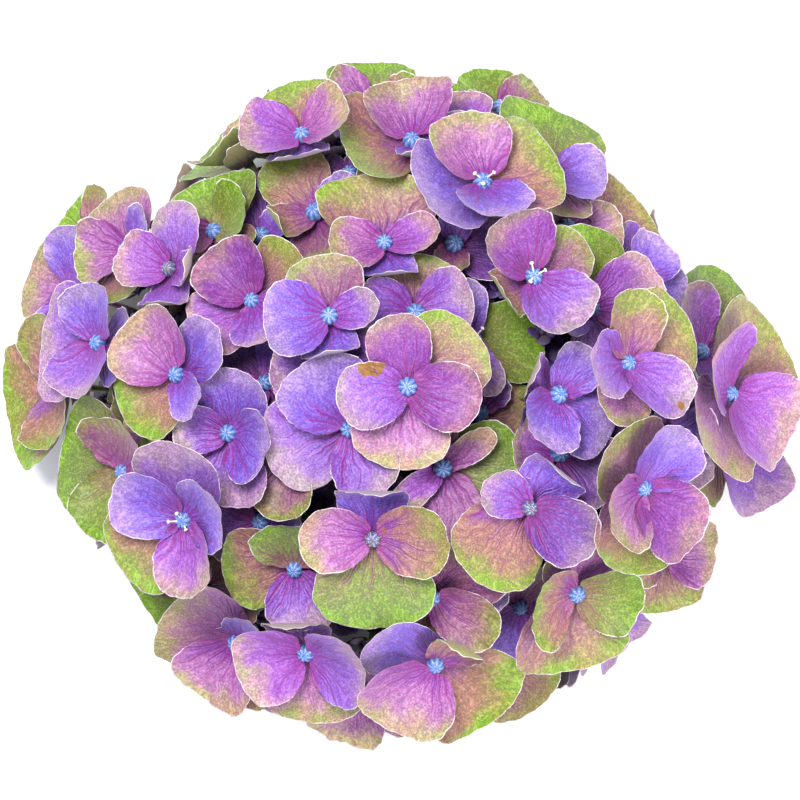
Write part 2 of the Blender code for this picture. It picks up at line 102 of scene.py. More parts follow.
WIDEST = 0.6
CLAW_SHARE = 0.14
CLAW_FLARE = 1.8
LIFT_VARIES = 3
EXTRA_LIFT_VARIES = 4
ANGLE_VARIES = 5
LENGTH_VARIES = 0.05
WIDTH_VARIES = 0.06
CURL_VARIES = 0.3
BLADE_STATIONS = (0.32, 0.60, 0.85)
RIB_STATIONS = (0.34, 0.72)
PLATE_START = 0.08
CLAW_DEPTH = 0.6 * MM
CLEARANCE = 0.4 * MM
SINK_STEP = 0.5 * MM
DEEPEST_SINK = 20 * MM
SHORTENINGS = (1.0, 0.88, 0.76, 0.64, 0.52, 0.42)
WHORLS = {
    "four": ((0, 180), (90, 270)),
    "five": ((0, 105, 245), (170, 305)),
    "spread": ((0, 180), (47, 140, 250)),
}
WIDTHS = {"four": 1.0, "five": 0.78, "spread": 0.68}
RING_SHIFTS = (0, 5, -5, 10, -10)
RING_TURNS = (45, 65, 85)
RING_TINTS = ("olive", "pink", "green", "violet")
UNDER_SPRAYS = 5
UNDER_LEVEL = 4
FLOOR_GAP = 0.2 * MM
FLOOR_MARGIN = 0.01 * MM

# How close a corner of the part must lie to where the rule puts it.
MATCH = 0.02 * MM
# Rounds that settle how far a point of the dome lies below the camera.
DOME_PASSES = 4
# Random turns lie between 0 and this many radians, a little over a full turn.
ANY_TURN = 6.3


class Bud(Enum):
    """State of the bud in the middle of a floret."""

    CLOSED = 0
    OPEN = 1
    SPENT = 2


class Form(Enum):
    """How a visible sepal grows."""

    GROWN = "g"
    PLAIN = "p"
    NARROW = "n"
    FOLDED = "f"


@dataclass(frozen=True)
class Seat:
    """Where a floret sits and how it looks.

    Args:
        node: the part's node that it belongs to.
        east: its bud's place to the right of the middle, in mm, as seen from above.
        north: its bud's place towards the top of the picture, in mm.
        span: length of its lower sepals, in mm.
        turn: direction of one upper sepal, in degrees.
        level: its order from the front.
        blushes: the blush of each sepal, the upper ones first.
        whorl: how its sepals stand.
        lean: how far its axis leans east and north.
        bud: the state of its bud.
        forms: the form of each sepal, as the letters of Form, the upper ones first.
    """

    node: str
    east: float
    north: float
    span: float
    turn: float
    level: int
    blushes: str
    whorl: str = "four"
    lean: tuple[float, float] = (0, 0)
    bud: Bud = Bud.CLOSED
    forms: str = "ggggg"


SEATS = (
    Seat("crown_1", 2, 6, 17.5, 95, 0, "wine lilac wine rose olive", "five"),
    Seat("crown_2", -13, -5, 19, 115, 1, "violet lilac lilac violet"),
    Seat("crown_3", 11, -15, 18, 220, 1, "magenta rose rose leaf olive", "spread", forms="nnggg"),
    Seat("crown_4", 20, -1, 15, 75, 3, "plum plum russet olive", "four", (0.25, 0)),
    Seat("crown_5", 18, 18, 18, 100, 2, "violet lilac russet leaf", "four", (0.3, 0.1), Bud.OPEN, "nngg"),
    Seat("crown_6", 4, 25, 15, 5, 1, "lilac lilac olive plum"),
    Seat("crown_7", -18, 24, 16, 185, 0, "violet lilac violet russet", forms="gnfp"),
    Seat("crown_8", -18, 10, 15, 190, 3, "lilac plum rose russet"),
    Seat("crown_8", -29, -10, 17, -100, 3, "russet russet lilac russet"),
    Seat("crown_9", -7, -33, 21.5, 0, 1, "olive rose violet leaf", bud=Bud.SPENT, forms="ppfg"),
    Seat("shoulder_1", -38, 28, 15.5, 125, 1, "wine lilac magenta olive"),
    Seat("shoulder_1", -35, 7, 15, 215, 2, "violet violet plum plum"),
    Seat("shoulder_2", -14, 35, 15.5, 40, 2, "violet magenta russet plum"),
    Seat("shoulder_3", 16, -37, 17, -70, 3, "violet violet lilac violet"),
    Seat("shoulder_3", 8, -48, 20, 145, 2, "olive russet olive russet"),
    Seat("shoulder_4", 40, 4, 15.5, 60, 1, "violet violet lilac violet", "four", (0.2, 0), forms="ggfg"),
    Seat("shoulder_5", 41, -11, 15.5, -25, 2, "plum magenta plum magenta"),
    Seat("shoulder_6", 33, -25, 19, -35, 1, "plum lilac violet lime", bud=Bud.SPENT, forms="gnfg"),
    Seat("shoulder_7", -4, 43, 17, 5, 0, "magenta rose olive violet", forms="npgf"),
    Seat("shoulder_8", 4, 58, 14, 90, 2, "olive lime olive russet"),
    Seat("shoulder_8", 14, 43, 14, 80, 2, "violet russet russet plum"),
    Seat("shoulder_9", -44, -6, 15, 165, 1, "lilac violet lilac violet"),
    Seat("shoulder_10", 34, 34, 16.5, 125, 1, "wine lilac olive russet", bud=Bud.OPEN, forms="ggfn"),
    Seat("shoulder_10", 43, 47, 14, 0, 2, "rose olive olive rose"),
    Seat("shoulder_11", -27, -41, 16, -80, 2, "lilac leaf russet lime"),
    Seat("shoulder_11", -36, -29, 15, 20, 3, "violet plum violet plum"),
    Seat("shoulder_12", 49, 26, 18.5, 15, 1, "magenta violet leaf lilac"),
    Seat("shoulder_13", -22, 51, 18, 30, 1, "violet olive lime russet", forms="nfgp"),
    Seat("shoulder_14", -57, 9, 18, 125, 0, "rose violet lime violet", forms="gngn"),
    Seat("shoulder_15", 22, -66, 18, 40, 3, "lime rose leaf olive"),
    Seat("shoulder_15", 31, -51, 17, -125, 2, "violet russet olive violet"),
    Seat("shoulder_16", 58, 12, 18, 85, 0, "olive lilac lilac rose olive", "five"),
    Seat("shoulder_17", -55, -28, 19, -80, 0, "magenta violet violet lilac lime", "five", bud=Bud.OPEN),
    Seat("shoulder_18", 21, 58, 17.5, 110, 0, "rose violet violet lime", bud=Bud.OPEN),
    Seat("edge_1", 45, -47, 18.5, -5, 1, "leaf lime rose olive"),
    Seat("edge_1", 51, -35, 14, 250, 2, "lilac violet lilac violet"),
    Seat("edge_2", -71, -16, 18.5, -105, 2, "leaf russet leaf leaf"),
    Seat("edge_2", -61, -12, 16, 105, 2, "rose olive leaf magenta"),
    Seat("edge_3", -7, 79, 14, 0, 2, "olive rose leaf olive"),
    Seat("edge_3", -13, 61, 13, 60, 3, "plum violet plum violet"),
    Seat("edge_4", 9, -65, 21.5, -125, 1, "rose olive lime violet", forms="gfgn"),
    Seat("edge_5", 62, -20, 20, -45, 0, "wine violet rose russet lime", "five"),
    Seat("edge_6", -24, -62, 19, 5, 0, "lilac magenta lilac rose", forms="ggfg"),
    Seat("edge_7", -48, 46, 15, 10, 2, "leaf russet leaf olive"),
    Seat("edge_7", -36, 45, 13, 20, 2, "violet olive plum plum"),
    Seat("edge_8", -51, -46, 17.5, 125, 2, "olive lime leaf olive"),
    Seat("edge_8", -42, -60, 18, 235, 1, "rose violet olive rose"),
    Seat("edge_9", 3, 69, 17.5, 100, 0, "rose violet lime violet", forms="gfgn"),
    Seat("edge_10", -59, 36, 17, 170, 0, "magenta lilac lilac lilac", bud=Bud.SPENT, forms="pffn"),
    Seat("edge_11", 69, -6, 15, 0, 2, "violet plum violet lilac"),
    Seat("edge_11", 85, -9, 20, -80, 2, "lilac rose olive lime"),
    Seat("edge_11", 84, 4, 22, -35, 1, "magenta magenta olive rose"),
    Seat("edge_12", 53, 46, 15, -50, 3, "rose leaf olive leaf"),
    Seat("edge_12", 62, 34, 13, 60, 2, "violet violet lilac violet"),
    Seat("edge_13", 15, 71, 13, 90, 2, "magenta violet violet lilac"),
    Seat("edge_13", 15, 79, 13, 0, 3, "olive olive leaf olive"),
    Seat("edge_13", 26, 78, 13, 30, 2, "russet olive leaf lime"),
    Seat("edge_14", -9, -72, 18, -115, 2, "rose rose rose magenta"),
    Seat("edge_15", 38, 61, 17, -15, 0, "violet magenta leaf rose"),
    Seat("edge_16", -25, 70, 16.5, 0, 0, "rose magenta lime violet", forms="ggpf"),
    Seat("edge_17", 68, -37, 15.5, -5, 2, "rose olive rose olive"),
    Seat("edge_18", -77, 17, 17.5, 80, 0, "violet lilac lilac violet"),
    Seat("edge_19", 78, 15, 22, 300, 1, "violet magenta rose leaf lime", "spread"),
    Seat("edge_20", -80, 46, 13, 40, 3, "olive lime leaf olive"),
    Seat("edge_20", -70, 41, 16, 5, 2, "violet rose rose olive"),
    Seat("edge_21", -87, 6, 20, 110, 1, "olive lime lime olive"),
    Seat("edge_22", -84, 31, 18.5, 70, 1, "violet lilac rose magenta", forms="gggf"),
)


@dataclass(frozen=True)
class Ring:
    """A ring of florets that face outwards under the edge."""

    count: int
    first: float
    reach: float
    tilt: float
    span: float
    height: float | None


RINGS = (Ring(13, 3, 74 * MM, 84, 15.5, None), Ring(13, 16, 78 * MM, 66, 15, 36 * MM))

# Torn or withered marks, by seat and sepal: how far aside and along in mm, and how wide.
MARKS = {
    ("crown_1", 1): (-8.0, 7.5, 3.6),
    ("shoulder_9", 2): (-8.5, 9.5, 2.2),
    ("shoulder_16", 2): (-2.5, 17.5, 1.0),
    ("crown_9", 0): (3.0, 3.0, 0.8),
}
NO_MARK = (0, 0, -9)

# What the florets of the two rings blush with, by their tint.
RING_BLUSHES = {
    "olive": "rose lime leaf olive",
    "pink": "lilac magenta rose rose",
    "green": "olive rose lime lime",
    "violet": "violet lilac plum violet",
}


@dataclass(frozen=True)
class Bowl:
    """The cup that the sepals of one floret share, with its angles in radians."""

    lift: float
    extra_lift: float
    crownward: float
    span: float

    def lift_at(self, azimuth: float) -> float:
        """How steeply the cup rises at an azimuth: most on the crown's side."""
        return self.lift + self.extra_lift * (1 + np.cos(azimuth - self.crownward)) / 2


@dataclass(frozen=True)
class Sepal:
    """One sepal of a floret, in the floret's frame."""

    tier: int
    angle: float
    length: float
    width: float
    curl: float
    bowl: Bowl
    rank: int
    share: float = 1.0

    def half_width(self, along: np.ndarray) -> np.ndarray:
        """Half the width: a narrow claw, then broad with a round end.

        Args:
            along: shares of the length.

        Returns:
            The distances from the rib, in metres.
        """
        past = np.clip((along - WIDEST) / (1 - WIDEST), 0, 1)
        before = np.clip((WIDEST - along) / WIDEST, 0, 1)
        claw = 1 - (1 - CLAW_SHARE) * before ** CLAW_FLARE
        return self.width / 2 * np.where(along > WIDEST, np.sqrt(1 - past ** 2), claw)

    def surface(self, along: np.ndarray, side: np.ndarray, off: np.ndarray) -> np.ndarray:
        """Points of the sepal.

        Args:
            along: shares of the length from the floret's middle.
            side: distances from the rib, in metres.
            off: distances off the middle surface, in metres.

        Returns:
            The points in the floret's frame, one a row.
        """
        bowl = self.bowl
        rise = bowl.lift_at(self.angle)
        reach = self.length * along * math.cos(rise) - off * math.sin(rise)
        x = reach * math.cos(self.angle) - side * math.sin(self.angle)
        y = reach * math.sin(self.angle) + side * math.cos(self.angle)
        out = np.hypot(x, y)
        lift = bowl.lift_at(np.arctan2(y, x))
        height = out * np.tan(lift) * (BOWL_START + BOWL_DEEPENING * out / bowl.span)
        height += self.tier * (TIER_RISE + TIER_SLOPE * out) / np.cos(lift)
        height += self.curl * side ** 2 / (self.width / 2)
        middle = (HUB_TIERS[self.tier] + HUB_TIERS[self.tier + 1]) / 2
        return np.stack([x, y, middle + height + off * math.cos(rise)], axis=-1)

    def point(self, along: float, side: float, off: float = 0.0) -> Vector:
        """One point of the sepal."""
        return Vector(self.surface(np.array([along]), np.array([side]), np.array([off]))[0])

    def shortened(self, share: float) -> Sepal:
        """The same sepal at a share of its length and width."""
        return replace(self, length=self.length * share, width=self.width * share, share=share)


@dataclass(frozen=True)
class Spot:
    """A place where a floret may sit, and the way it moves until it is clear."""

    seat: Seat
    point: Vector
    axis: Vector
    path: Vector


@dataclass(frozen=True)
class Floret:
    """A floret as the part has it, and where its stalk starts."""

    seat: Seat
    place: Matrix
    sepals: list[Sepal]
    start: Vector
    outward: Vector


def direction(azimuth: float, tilt: float) -> Vector:
    """Unit vector at an azimuth, leaning out from +Z by a tilt, both in degrees."""
    around, out = math.radians(azimuth), math.radians(tilt)
    return Vector((math.cos(around) * math.sin(out), math.sin(around) * math.sin(out), math.cos(out)))


def varied(rng: random.Random, most: float) -> float:
    """A random amount between minus and plus the most."""
    return rng.uniform(-most, most)


def nodes_of(florets: Iterable[Floret]) -> list[str]:
    """The part's nodes that florets belong to, in order of name."""
    return sorted({floret.seat.node for floret in florets})


@dataclass(frozen=True)
class Rule:
    """The part's rule for where florets sit and how their sepals stand."""

    def dome_point(self, east: float, north: float) -> Vector:
        """Point of the dome that shows at a place in the picture.

        Args:
            east: the place to the right of the middle, in mm, as the camera sees it.
            north: the place towards the top, in mm.

        Returns:
            The point.
        """
        spread = 1.0
        for _ in range(DOME_PASSES):
            out = math.hypot(east, north) * MM * spread
            drop = DOME_RADIUS - math.sqrt(DOME_RADIUS ** 2 - out ** 2)
            spread = 1 + drop / VIEW_DISTANCE
        return Vector((east * MM * spread, north * MM * spread, DOME_TOP - drop))

    def sepals_of(self, seat: Seat) -> list[Sepal]:
        """The sepals of one floret before any is shortened.

        Args:
            seat: where the floret sits.

        Returns:
            Its sepals, in order round it.
        """
        rng = random.Random(SEED + SEED_STRIDE * (round(seat.east) + SEED_STRIDE) + round(seat.north))
        near_edge = min(1.0, math.hypot(seat.east, seat.north) / FULL_LIFT_DISTANCE)
        lift = math.radians(OUTWARD_LIFT + varied(rng, LIFT_VARIES))
        extra_lift = math.radians(CROWNWARD_LIFT * near_edge + varied(rng, EXTRA_LIFT_VARIES))
        bowl = Bowl(lift, extra_lift, math.atan2(-seat.north, -seat.east), seat.span * FULLNESS * MM)
        sepals = []
        for lower, offsets in enumerate(WHORLS[seat.whorl]):
            for offset in offsets:
                angle = math.radians((seat.turn + offset + varied(rng, ANGLE_VARIES)) % 360)
                length = bowl.span * (1 + varied(rng, LENGTH_VARIES)) * (1 if lower else INNER_LENGTH)
                width = length * WIDTHS[seat.whorl] * (1 + varied(rng, WIDTH_VARIES))
                width *= OUTER_WIDTH if lower else INNER_WIDTH
                curl = (LOWER_CURL if lower else UPPER_CURL) * (1 + varied(rng, CURL_VARIES))
                sepals.append(Sepal(1 - lower, angle, length, width, curl, bowl, len(sepals)))
        return sorted(sepals, key=lambda sepal: sepal.angle)

    def floret_frame(self, point: Vector, axis: Vector) -> Matrix:
        """Frame of a floret: its axis is +Z, and +X points east as far as it can.

        Args:
            point: where the floret's middle is.
            axis: which way it faces.

        Returns:
            The matrix from the floret's frame to the part's.
        """
        across = (Vector((1, 0, 0)) - axis * axis.x).normalized()
        place = Matrix((across, axis.cross(across), axis)).transposed().to_4x4()
        place.translation = point
        return place

    def plate_corners(self, sepal: Sepal) -> list[Vector]:
        """Corners of the plate that encloses a sepal with the clearance all round.

        Args:
            sepal: the sepal.

        Returns:
            The corners, in the floret's frame.
        """
        stations = [(along, hand) for hand in (-1, 1) for along in (PLATE_START, *BLADE_STATIONS)]
        corners = []
        for face in (1, -1):
            for along, hand in stations + [(1 + CLEARANCE / sepal.length, 0)]:
                half = float(sepal.half_width(np.array(along)))
                off = face * (CLEARANCE + (CLAW_DEPTH if along == PLATE_START else 0))
                corners.append(sepal.point(along, hand * (half + CLEARANCE), off))
            deep = face * (SEPAL_THICKNESS / 2 + CLEARANCE)
            corners += [sepal.point(along, 0, deep) for along in RIB_STATIONS]
        return corners

    def face_up_spots(self) -> list[list[Spot]]:
        """The florets that show from above.

        Returns:
            A list of one spot for each, front ones first.
        """
        spots = []
        for seat in SEATS:
            point = self.dome_point(seat.east, seat.north)
            normal = (point - DOME_CENTRE).normalized()
            upright = Vector((0, 0, 1)).slerp(normal, TILT_SHARE)
            axis = (upright + Vector((*seat.lean, 0))).normalized()
            spots.append([Spot(seat, point, axis, Vector((0, 0, -1)))])
        return sorted(spots, key=lambda options: options[0].seat.level)

    def ring_spots(self, ring: Ring) -> list[list[Spot]]:
        """The florets of a ring.

        Args:
            ring: the ring.

        Returns:
            The places to try for each floret, nearest first.
        """
        ring_options = []
        for number in range(ring.count):
            middle = ring.first + 360 * number / ring.count
            node = f"under_{int(middle % 360 / 360 * UNDER_SPRAYS) + 1}"
            blushes = RING_BLUSHES[RING_TINTS[number % len(RING_TINTS)]]
            turn = RING_TURNS[number % len(RING_TURNS)]
            options = []
            for shift in RING_SHIFTS:
                outward = direction(middle + shift, 90)
                axis = direction(middle + shift, ring.tilt)
                point = outward * ring.reach
                seat = Seat(node, point.x / MM, point.y / MM, ring.span, turn, UNDER_LEVEL, blushes)
                if ring.height is None:
                    place = self.floret_frame(point, axis)
                    plates = [self.plate_corners(sepal) for sepal in self.sepals_of(seat)]
                    lowest = min((place @ corner).z for plate in plates for corner in plate)
                    point.z = FLOOR_GAP - lowest + FLOOR_MARGIN
                else:
                    point.z = ring.height
                options.append(Spot(seat, point, axis, -outward))
            ring_options.append(options)
        return ring_options

    def spray_foot(self, members: list[Spot]) -> tuple[Vector, Vector]:
        """Where a spray or a single floret meets its twig.

        Args:
            members: the spots of the spray's florets.

        Returns:
            The point and its outward direction.
        """
        outward = sum((spot.point - HEART for spot in members), Vector()).normalized()
        reach = UNDER_TWIG_REACH if members[0].seat.level == UNDER_LEVEL else TWIG_REACH
        return HEART + outward * (reach + JOINT_GAP / 2), outward


@dataclass
class Head:
    """All florets of the head, found again on the part's solids."""

    rule: Rule = Rule()
    florets: list[Floret] = field(default_factory=list)
    feet: dict[str, tuple[Vector, Vector]] = field(default_factory=dict)
    shared: dict[str, bool] = field(default_factory=dict)

    def grow(self) -> None:
        """Find every floret where the part has it."""
        spots = self.rule.face_up_spots()
        for ring in RINGS:
            spots += self.rule.ring_spots(ring)
        members: dict[str, list[Spot]] = {}
        for options in spots:
            members.setdefault(options[0].seat.node, []).append(options[0])
        self.feet = {node: self.rule.spray_foot(group) for node, group in members.items()}
        self.shared = {node: len(group) > 1 for node, group in members.items()}
        trees = {node: self.corner_tree(node) for node in members}
        trials = [self.found(options, trees[options[0].seat.node]) for options in spots]
        self.florets = [floret for floret in trials if floret]
        log.info("head: %d florets found, %d places empty", len(self.florets), trials.count(None))

    def corner_tree(self, node: str) -> KDTree:
        """Search tree of the corners of one of the part's solids.

        Args:
            node: the part's node.

        Returns:
            The tree.
        """
        vertices = frame["nodes"][node].data.vertices
        tree = KDTree(len(vertices))
        for vertex in vertices:
            tree.insert(vertex.co, vertex.index)
        tree.balance()
        return tree

    def found(self, options: list[Spot], tree: KDTree) -> Floret | None:
        """One floret at the first of its places that the part has a bud at.

        Args:
            options: the places to try.
            tree: search tree of the node's corners.

        Returns:
            The floret, or None where the part has none.
        """
        for spot in options:
            for step in range(int(DEEPEST_SINK / SINK_STEP) + 1):
                place = self.rule.floret_frame(spot.point + spot.path * (step * SINK_STEP), spot.axis)
                if tree.find(place @ Vector((0, 0, BUD_TOP)))[2] > MATCH:
                    continue
                sepals = []
                for sepal in self.rule.sepals_of(spot.seat):
                    trials = [sepal.shortened(share) for share in SHORTENINGS]
                    fitting = [trial for trial in trials if tree.find(place @ trial.point(1, 0))[2] < MATCH]
                    if not fitting:
                        log.warning("a sepal of %s isn't where the rule puts it", spot.seat.node)
                    sepals += fitting[:1]
                foot, outward = self.feet[spot.seat.node]
                lifted = SPRAY_FORK_RISE - SPRAY_FORK_DEPTH if self.shared[spot.seat.node] else 0
                return Floret(spot.seat, place, sepals, foot + outward * lifted, outward)
        return None


def colour(code: str) -> tuple[float, float, float, float]:
    """Turn a colour linear.

    Args:
        code: its sRGB hex code.

    Returns:
        Its linear levels, with full cover.
    """
    levels = [int(code[i:i + 2], 16) / 255 for i in (1, 3, 5)]
    linear = [s / 12.92 if s <= 0.04045 else ((s + 0.055) / 1.055) ** 2.4 for s in levels]
    return (*linear, 1.0)


def feed(socket: bpy.types.NodeSocket, value: object) -> None:
    """Give a socket what it gets.

    Args:
        socket: the socket.
        value: a value, another node's output, a list of outputs, or None to leave it as it is.
    """
    for given in value if isinstance(value, list) else [value]:
        if isinstance(given, bpy.types.NodeSocket):
            socket.id_data.links.new(given, socket)
        elif given is not None:
            socket.default_value = given


def add_node(
    tree: bpy.types.NodeTree, *values, kind: str, output: str = "", inputs: dict | None = None, **settings,
) -> bpy.types.NodeSocket:
    """Add a node with its settings and links.

    Args:
        tree: the node tree.
        values: what its sockets get, in their order.
        kind: the node's type name.
        output: name of the output that is given back, or nothing for the first.
        inputs: what further sockets get, by name.
        settings: the node's own properties.

    Returns:
        The output.
    """
    node = tree.nodes.new(kind)
    for name, value in settings.items():
        setattr(node, name, value)
    for socket, value in zip([socket for socket in node.inputs if socket.enabled], values):
        feed(socket, value)
    for name, value in (inputs or {}).items():
        feed(node.inputs[name], value)
    return next(socket for socket in node.outputs if socket.enabled and output in ("", socket.name))


# The kinds of node used most, each with the settings that it always has.
ADD, MINUS, TIMES, OVER, TIMES_ADD, ABOVE, LARGER, POWER, ARCTAN, SINE, ROOT, UNSIGNED = (
    {"kind": "ShaderNodeMath", "operation": operation}
    for operation in (
        "ADD", "SUBTRACT", "MULTIPLY", "DIVIDE", "MULTIPLY_ADD", "GREATER_THAN", "MAXIMUM", "POWER",
        "ARCTAN2", "SINE", "SQRT", "ABSOLUTE",
    )
)
# These get a value and a step: where it starts and ends, and what it gives there if not 0 and 1.
Step = tuple[float, ...]
SOFT_STEP = {"kind": "ShaderNodeMapRange", "interpolation_type": "SMOOTHSTEP"}
RAMP = {"kind": "ShaderNodeMapRange"}
MIX = {"kind": "ShaderNodeMix", "data_type": "RGBA"}
# It gets a place, its patterns for each unit there, and how many finer layers it has.
NOISE = {"kind": "ShaderNodeTexNoise"}
SPLIT = {"kind": "ShaderNodeSeparateXYZ"}
JOIN = {"kind": "ShaderNodeCombineXYZ"}
ATTRIBUTE = {"kind": "ShaderNodeAttribute"}
VECTOR = {"kind": "ShaderNodeVectorMath"}
BUMP = {"kind": "ShaderNodeBump"}
HERE = {"kind": "ShaderNodeTexCoord", "output": "Object"}


@dataclass(frozen=True)
class Finish:
    """What all finishes share: a material whose shader gets what the finish says."""

    def sockets(self, add: Callable) -> dict:
        """What the shader's sockets get: nothing, unless a finish says more."""
        return {}

    def material(self, name: str) -> bpy.types.Material:
        """Make the material.

        Args:
            name: the material's name.

        Returns:
            The material.
        """
        made = bpy.data.materials.new(name)
        made.use_nodes = True
        shader = made.node_tree.nodes["Principled BSDF"]
        for socket, value in self.sockets(partial(add_node, made.node_tree)).items():
            feed(shader.inputs[socket], value)
        return made


@dataclass(frozen=True)
class Blush:
    """Plain colours of one sepal.

    Args:
        claw: its colour by the bud, darkened there with painted shade.
        middle: its colour over the middle.
        tip: its colour towards the tip.
        greening: how much of its tip is still leaf-green, up to rather more than 1.
    """

    claw: str
    middle: str
    tip: str
    greening: float = 0.0


# Each claw colour is the sepal's own tint, made darker than the middle by painted shade near the bud.
BLUSHES = {
    "violet": Blush("#562b90", "#6247a8", "#886aa2", 0.12),
    "lilac": Blush("#602c8e", "#7248a2", "#946f8e", 0.25),
    "plum": Blush("#481c68", "#542e7c", "#725072", 0.2),
    "wine": Blush("#521a62", "#672a7a", "#86546a", 0.2),
    "magenta": Blush("#6a248a", "#7e429a", "#9c707c", 0.35),
    "rose": Blush("#6a2a84", "#8a5286", "#94745e", 0.45),
    "russet": Blush("#5a286e", "#784a60", "#78653a", 0.45),
    "olive": Blush("#66347a", "#845c50", "#7c702e", 0.7),
    "lime": Blush("#70327a", "#865c4a", "#70761a", 1.1),
    "leaf": Blush("#6a5c2e", "#62701c", "#58720c", 1.35),
}
TINTS = ("claw_tint", "middle_tint", "tip_tint")


@dataclass(frozen=True)
class SepalFinish(Finish):
    """Fresh sepal tissue: thin, soft and matt, netted with veins, pale along its rim.

    Real ones are a skin of domed cells over watery tissue, so they have almost no mirror and a
    faint sheen. Places on a sepal are in mm, so scales are patterns for each mm.
    """

    roughness: float = 0.52
    ior: float = 1.42
    sheen: float = 0.1
    sheen_roughness: float = 0.4
    # Patches about 9 mm, 4 mm and 1 mm wide, and a grain of half a millimetre.
    slow_scale: float = 0.11
    warp_scale: float = 0.25
    mottle_scale: float = 0.9
    grain_scale: float = 2.0
    # Veins: how far behind the claw they start, how they wander, and how they fade.
    fan_start: float = 1.0
    slow_bend: float = 0.5
    warp_bend: float = 0.12
    vein_spacing: float = 0.26
    vein_width: float = 0.17
    side_veins: tuple[float, float] = (0.41, 0.8)
    main_fade: Step = (1.3, 0.5, 0.0, 0.85)
    side_fade: Step = (1.3, 0.6, 0.0, 0.35)
    green_fade: Step = (1.7, 0.5)
    # Streaks: patterns for each radian and for each mm.
    sector: tuple[float, float] = (2.6, 0.09)
    streak: tuple[float, float] = (15.0, 0.45)
    # The blush: how far it is shifted, and its steps to the middle's and the tip's colours.
    sector_shift: float = 0.75
    side_shift: float = 0.012
    rim_shift: Step = (3.5, 0.0, 0.0, 0.2)
    to_middle: Step = (0.45, 0.85)
    to_tip: Step = (0.85, 1.35)
    # Leaf-green: shares of the two noises in its patches, its steps, and where deep tissue is green.
    patch_shares: tuple[float, float] = (0.65, 0.35)
    green_patches: Step = (0.4, 0.6)
    green_reach: Step = (0.97, 1.38)
    green_deep: Step = (0.8, 1.4)
    leaf_line: float = 0.45
    # Deep and pale tissue: its net, how strong its tints are, and the patterns that bring them in.
    net_size: float = 1.5
    net_line: Step = (0.12, 0.0, 0.0, 0.6)
    net_streak: Step = (0.5, 0.75, 0.0, 0.65)
    deepness: float = 0.5
    brightness: float = 0.76
    paleness: float = 0.08
    tissue: tuple[tuple[str, str, Step], ...] = (
        ("mottle", "deep", (0.5, 0.3, 0.0, 0.38)),
        ("streak", "pale", (0.5, 0.3, 0.0, 0.6)),
        ("mottle", "pale", (0.5, 0.75, 0.0, 0.24)),
        ("grain", "deep", (0.5, 0.3, 0.0, 0.75)),
        ("grain", "pale", (0.5, 0.7, 0.0, 0.75)),
    )
    # Withered marks, the underside and the rim with its gaps.
    mark_raggedness: float = 3.0
    mark_edge: Step = (1.7, 1.2)
    dullness: float = 0.6
    under_cover: float = 0.75
    rim_raggedness: float = 0.3
    rim_edge: Step = (0.45, 0.2, 0.0, 0.92)
    rim_start: Step = (0.2, 0.5)
    rim_gaps: Step = (0.22, 0.52)
    streak_relief: float = 0.5
    relief_strength: float = 0.7
    relief: float = 0.4 * MM
    vein_colour: str = "#7c1464"
    green: str = "#62840a"
    leaf_vein: str = "#a4b45c"
    deep: str = "#3c1260"
    deep_green: str = "#28400a"
    pale: str = "#dccad0"
    rim_colour: str = "#e4d6da"
    underside: str = "#96986e"
    withered: str = "#96682a"
    scorched: str = "#4c2c12"

    def sockets(self, add: Callable) -> dict:
        """What the shader's sockets get.

        Args:
            add: the function that adds nodes to the material.

        Returns:
            Values and outputs, by the sockets' names.
        """
        place, lie, mark = (
            add(**ATTRIBUTE, output="Vector", attribute_name=told) for told in ("place", "lie", "mark")
        )
        claw, middle, tip = (add(**ATTRIBUTE, output="Color", attribute_name=tint) for tint in TINTS)
        under = add(**ATTRIBUTE, output="Fac", attribute_name="under")
        across, along, chance = add(place, **SPLIT).node.outputs
        rim, share, greening = add(lie, **SPLIT).node.outputs
        slow = add(place, self.slow_scale, 2, **NOISE)
        warp, mottle, grain = (
            add(place, scale, 3, **NOISE) for scale in (self.warp_scale, self.mottle_scale, self.grain_scale)
        )
        # Veins fan out from a point a little behind the claw, and wander.
        behind = add(along, self.fan_start, **ADD)
        wander = add(slow, self.slow_bend, add(warp, self.warp_bend, **TIMES), **TIMES_ADD)
        fan = add(add(across, behind, **ARCTAN), wander, **ADD)
        lines = []
        for finer, thinner in ((1, 1), self.side_veins):
            spacing = self.vein_spacing * finer
            wave = add(add(add(fan, math.pi / spacing, **TIMES), **SINE), **UNSIGNED)
            gap = add(add(wave, behind, **TIMES), spacing / math.pi, **TIMES)
            lines.append(add(gap, self.vein_width * thinner * 2, 0.0, **SOFT_STEP))
        # Streaks that run with the veins: wide ones for the blush, fine ones for the tissue.
        sector, streak = (
            add(add(add(fan, turns, **TIMES), add(behind, length, **TIMES), chance, **JOIN), 1.0, 3, **NOISE)
            for turns, length in (self.sector, self.streak)
        )
        # The blush runs from the claw to the tip and the rim, further on one side and in some streaks.
        shifted = add(across, self.side_shift, share, **TIMES_ADD)
        shifted = add(sector, self.sector_shift, shifted, **TIMES_ADD)
        shifted = add(shifted, add(rim, *self.rim_shift, **SOFT_STEP), **ADD)
        # The claw colour carries painted shade by the bud.
        ground = add(add(shifted, *self.to_middle, **SOFT_STEP), claw, middle, **MIX)
        ground = add(add(shifted, *self.to_tip, **SOFT_STEP), ground, tip, **MIX)
        parts = (add(noise, part, **TIMES) for noise, part in zip((slow, warp), self.patch_shares))
        leafy = add(add(add(*parts, **ADD), *self.green_patches, **SOFT_STEP), greening, **TIMES)
        leafy = add(leafy, add(shifted, *self.green_reach, **SOFT_STEP), **TIMES)
        ground = add(leafy, ground, colour(self.green), **MIX)
        # Purple veins fade where the sepal is green.
        faded = (
            add(line, add(shifted, *fade, **SOFT_STEP), **TIMES)
            for line, fade in zip(lines, (self.main_fade, self.side_fade))
        )
        vein = add(add(*faded, **LARGER), add(greening, *self.green_fade, **SOFT_STEP), **TIMES)
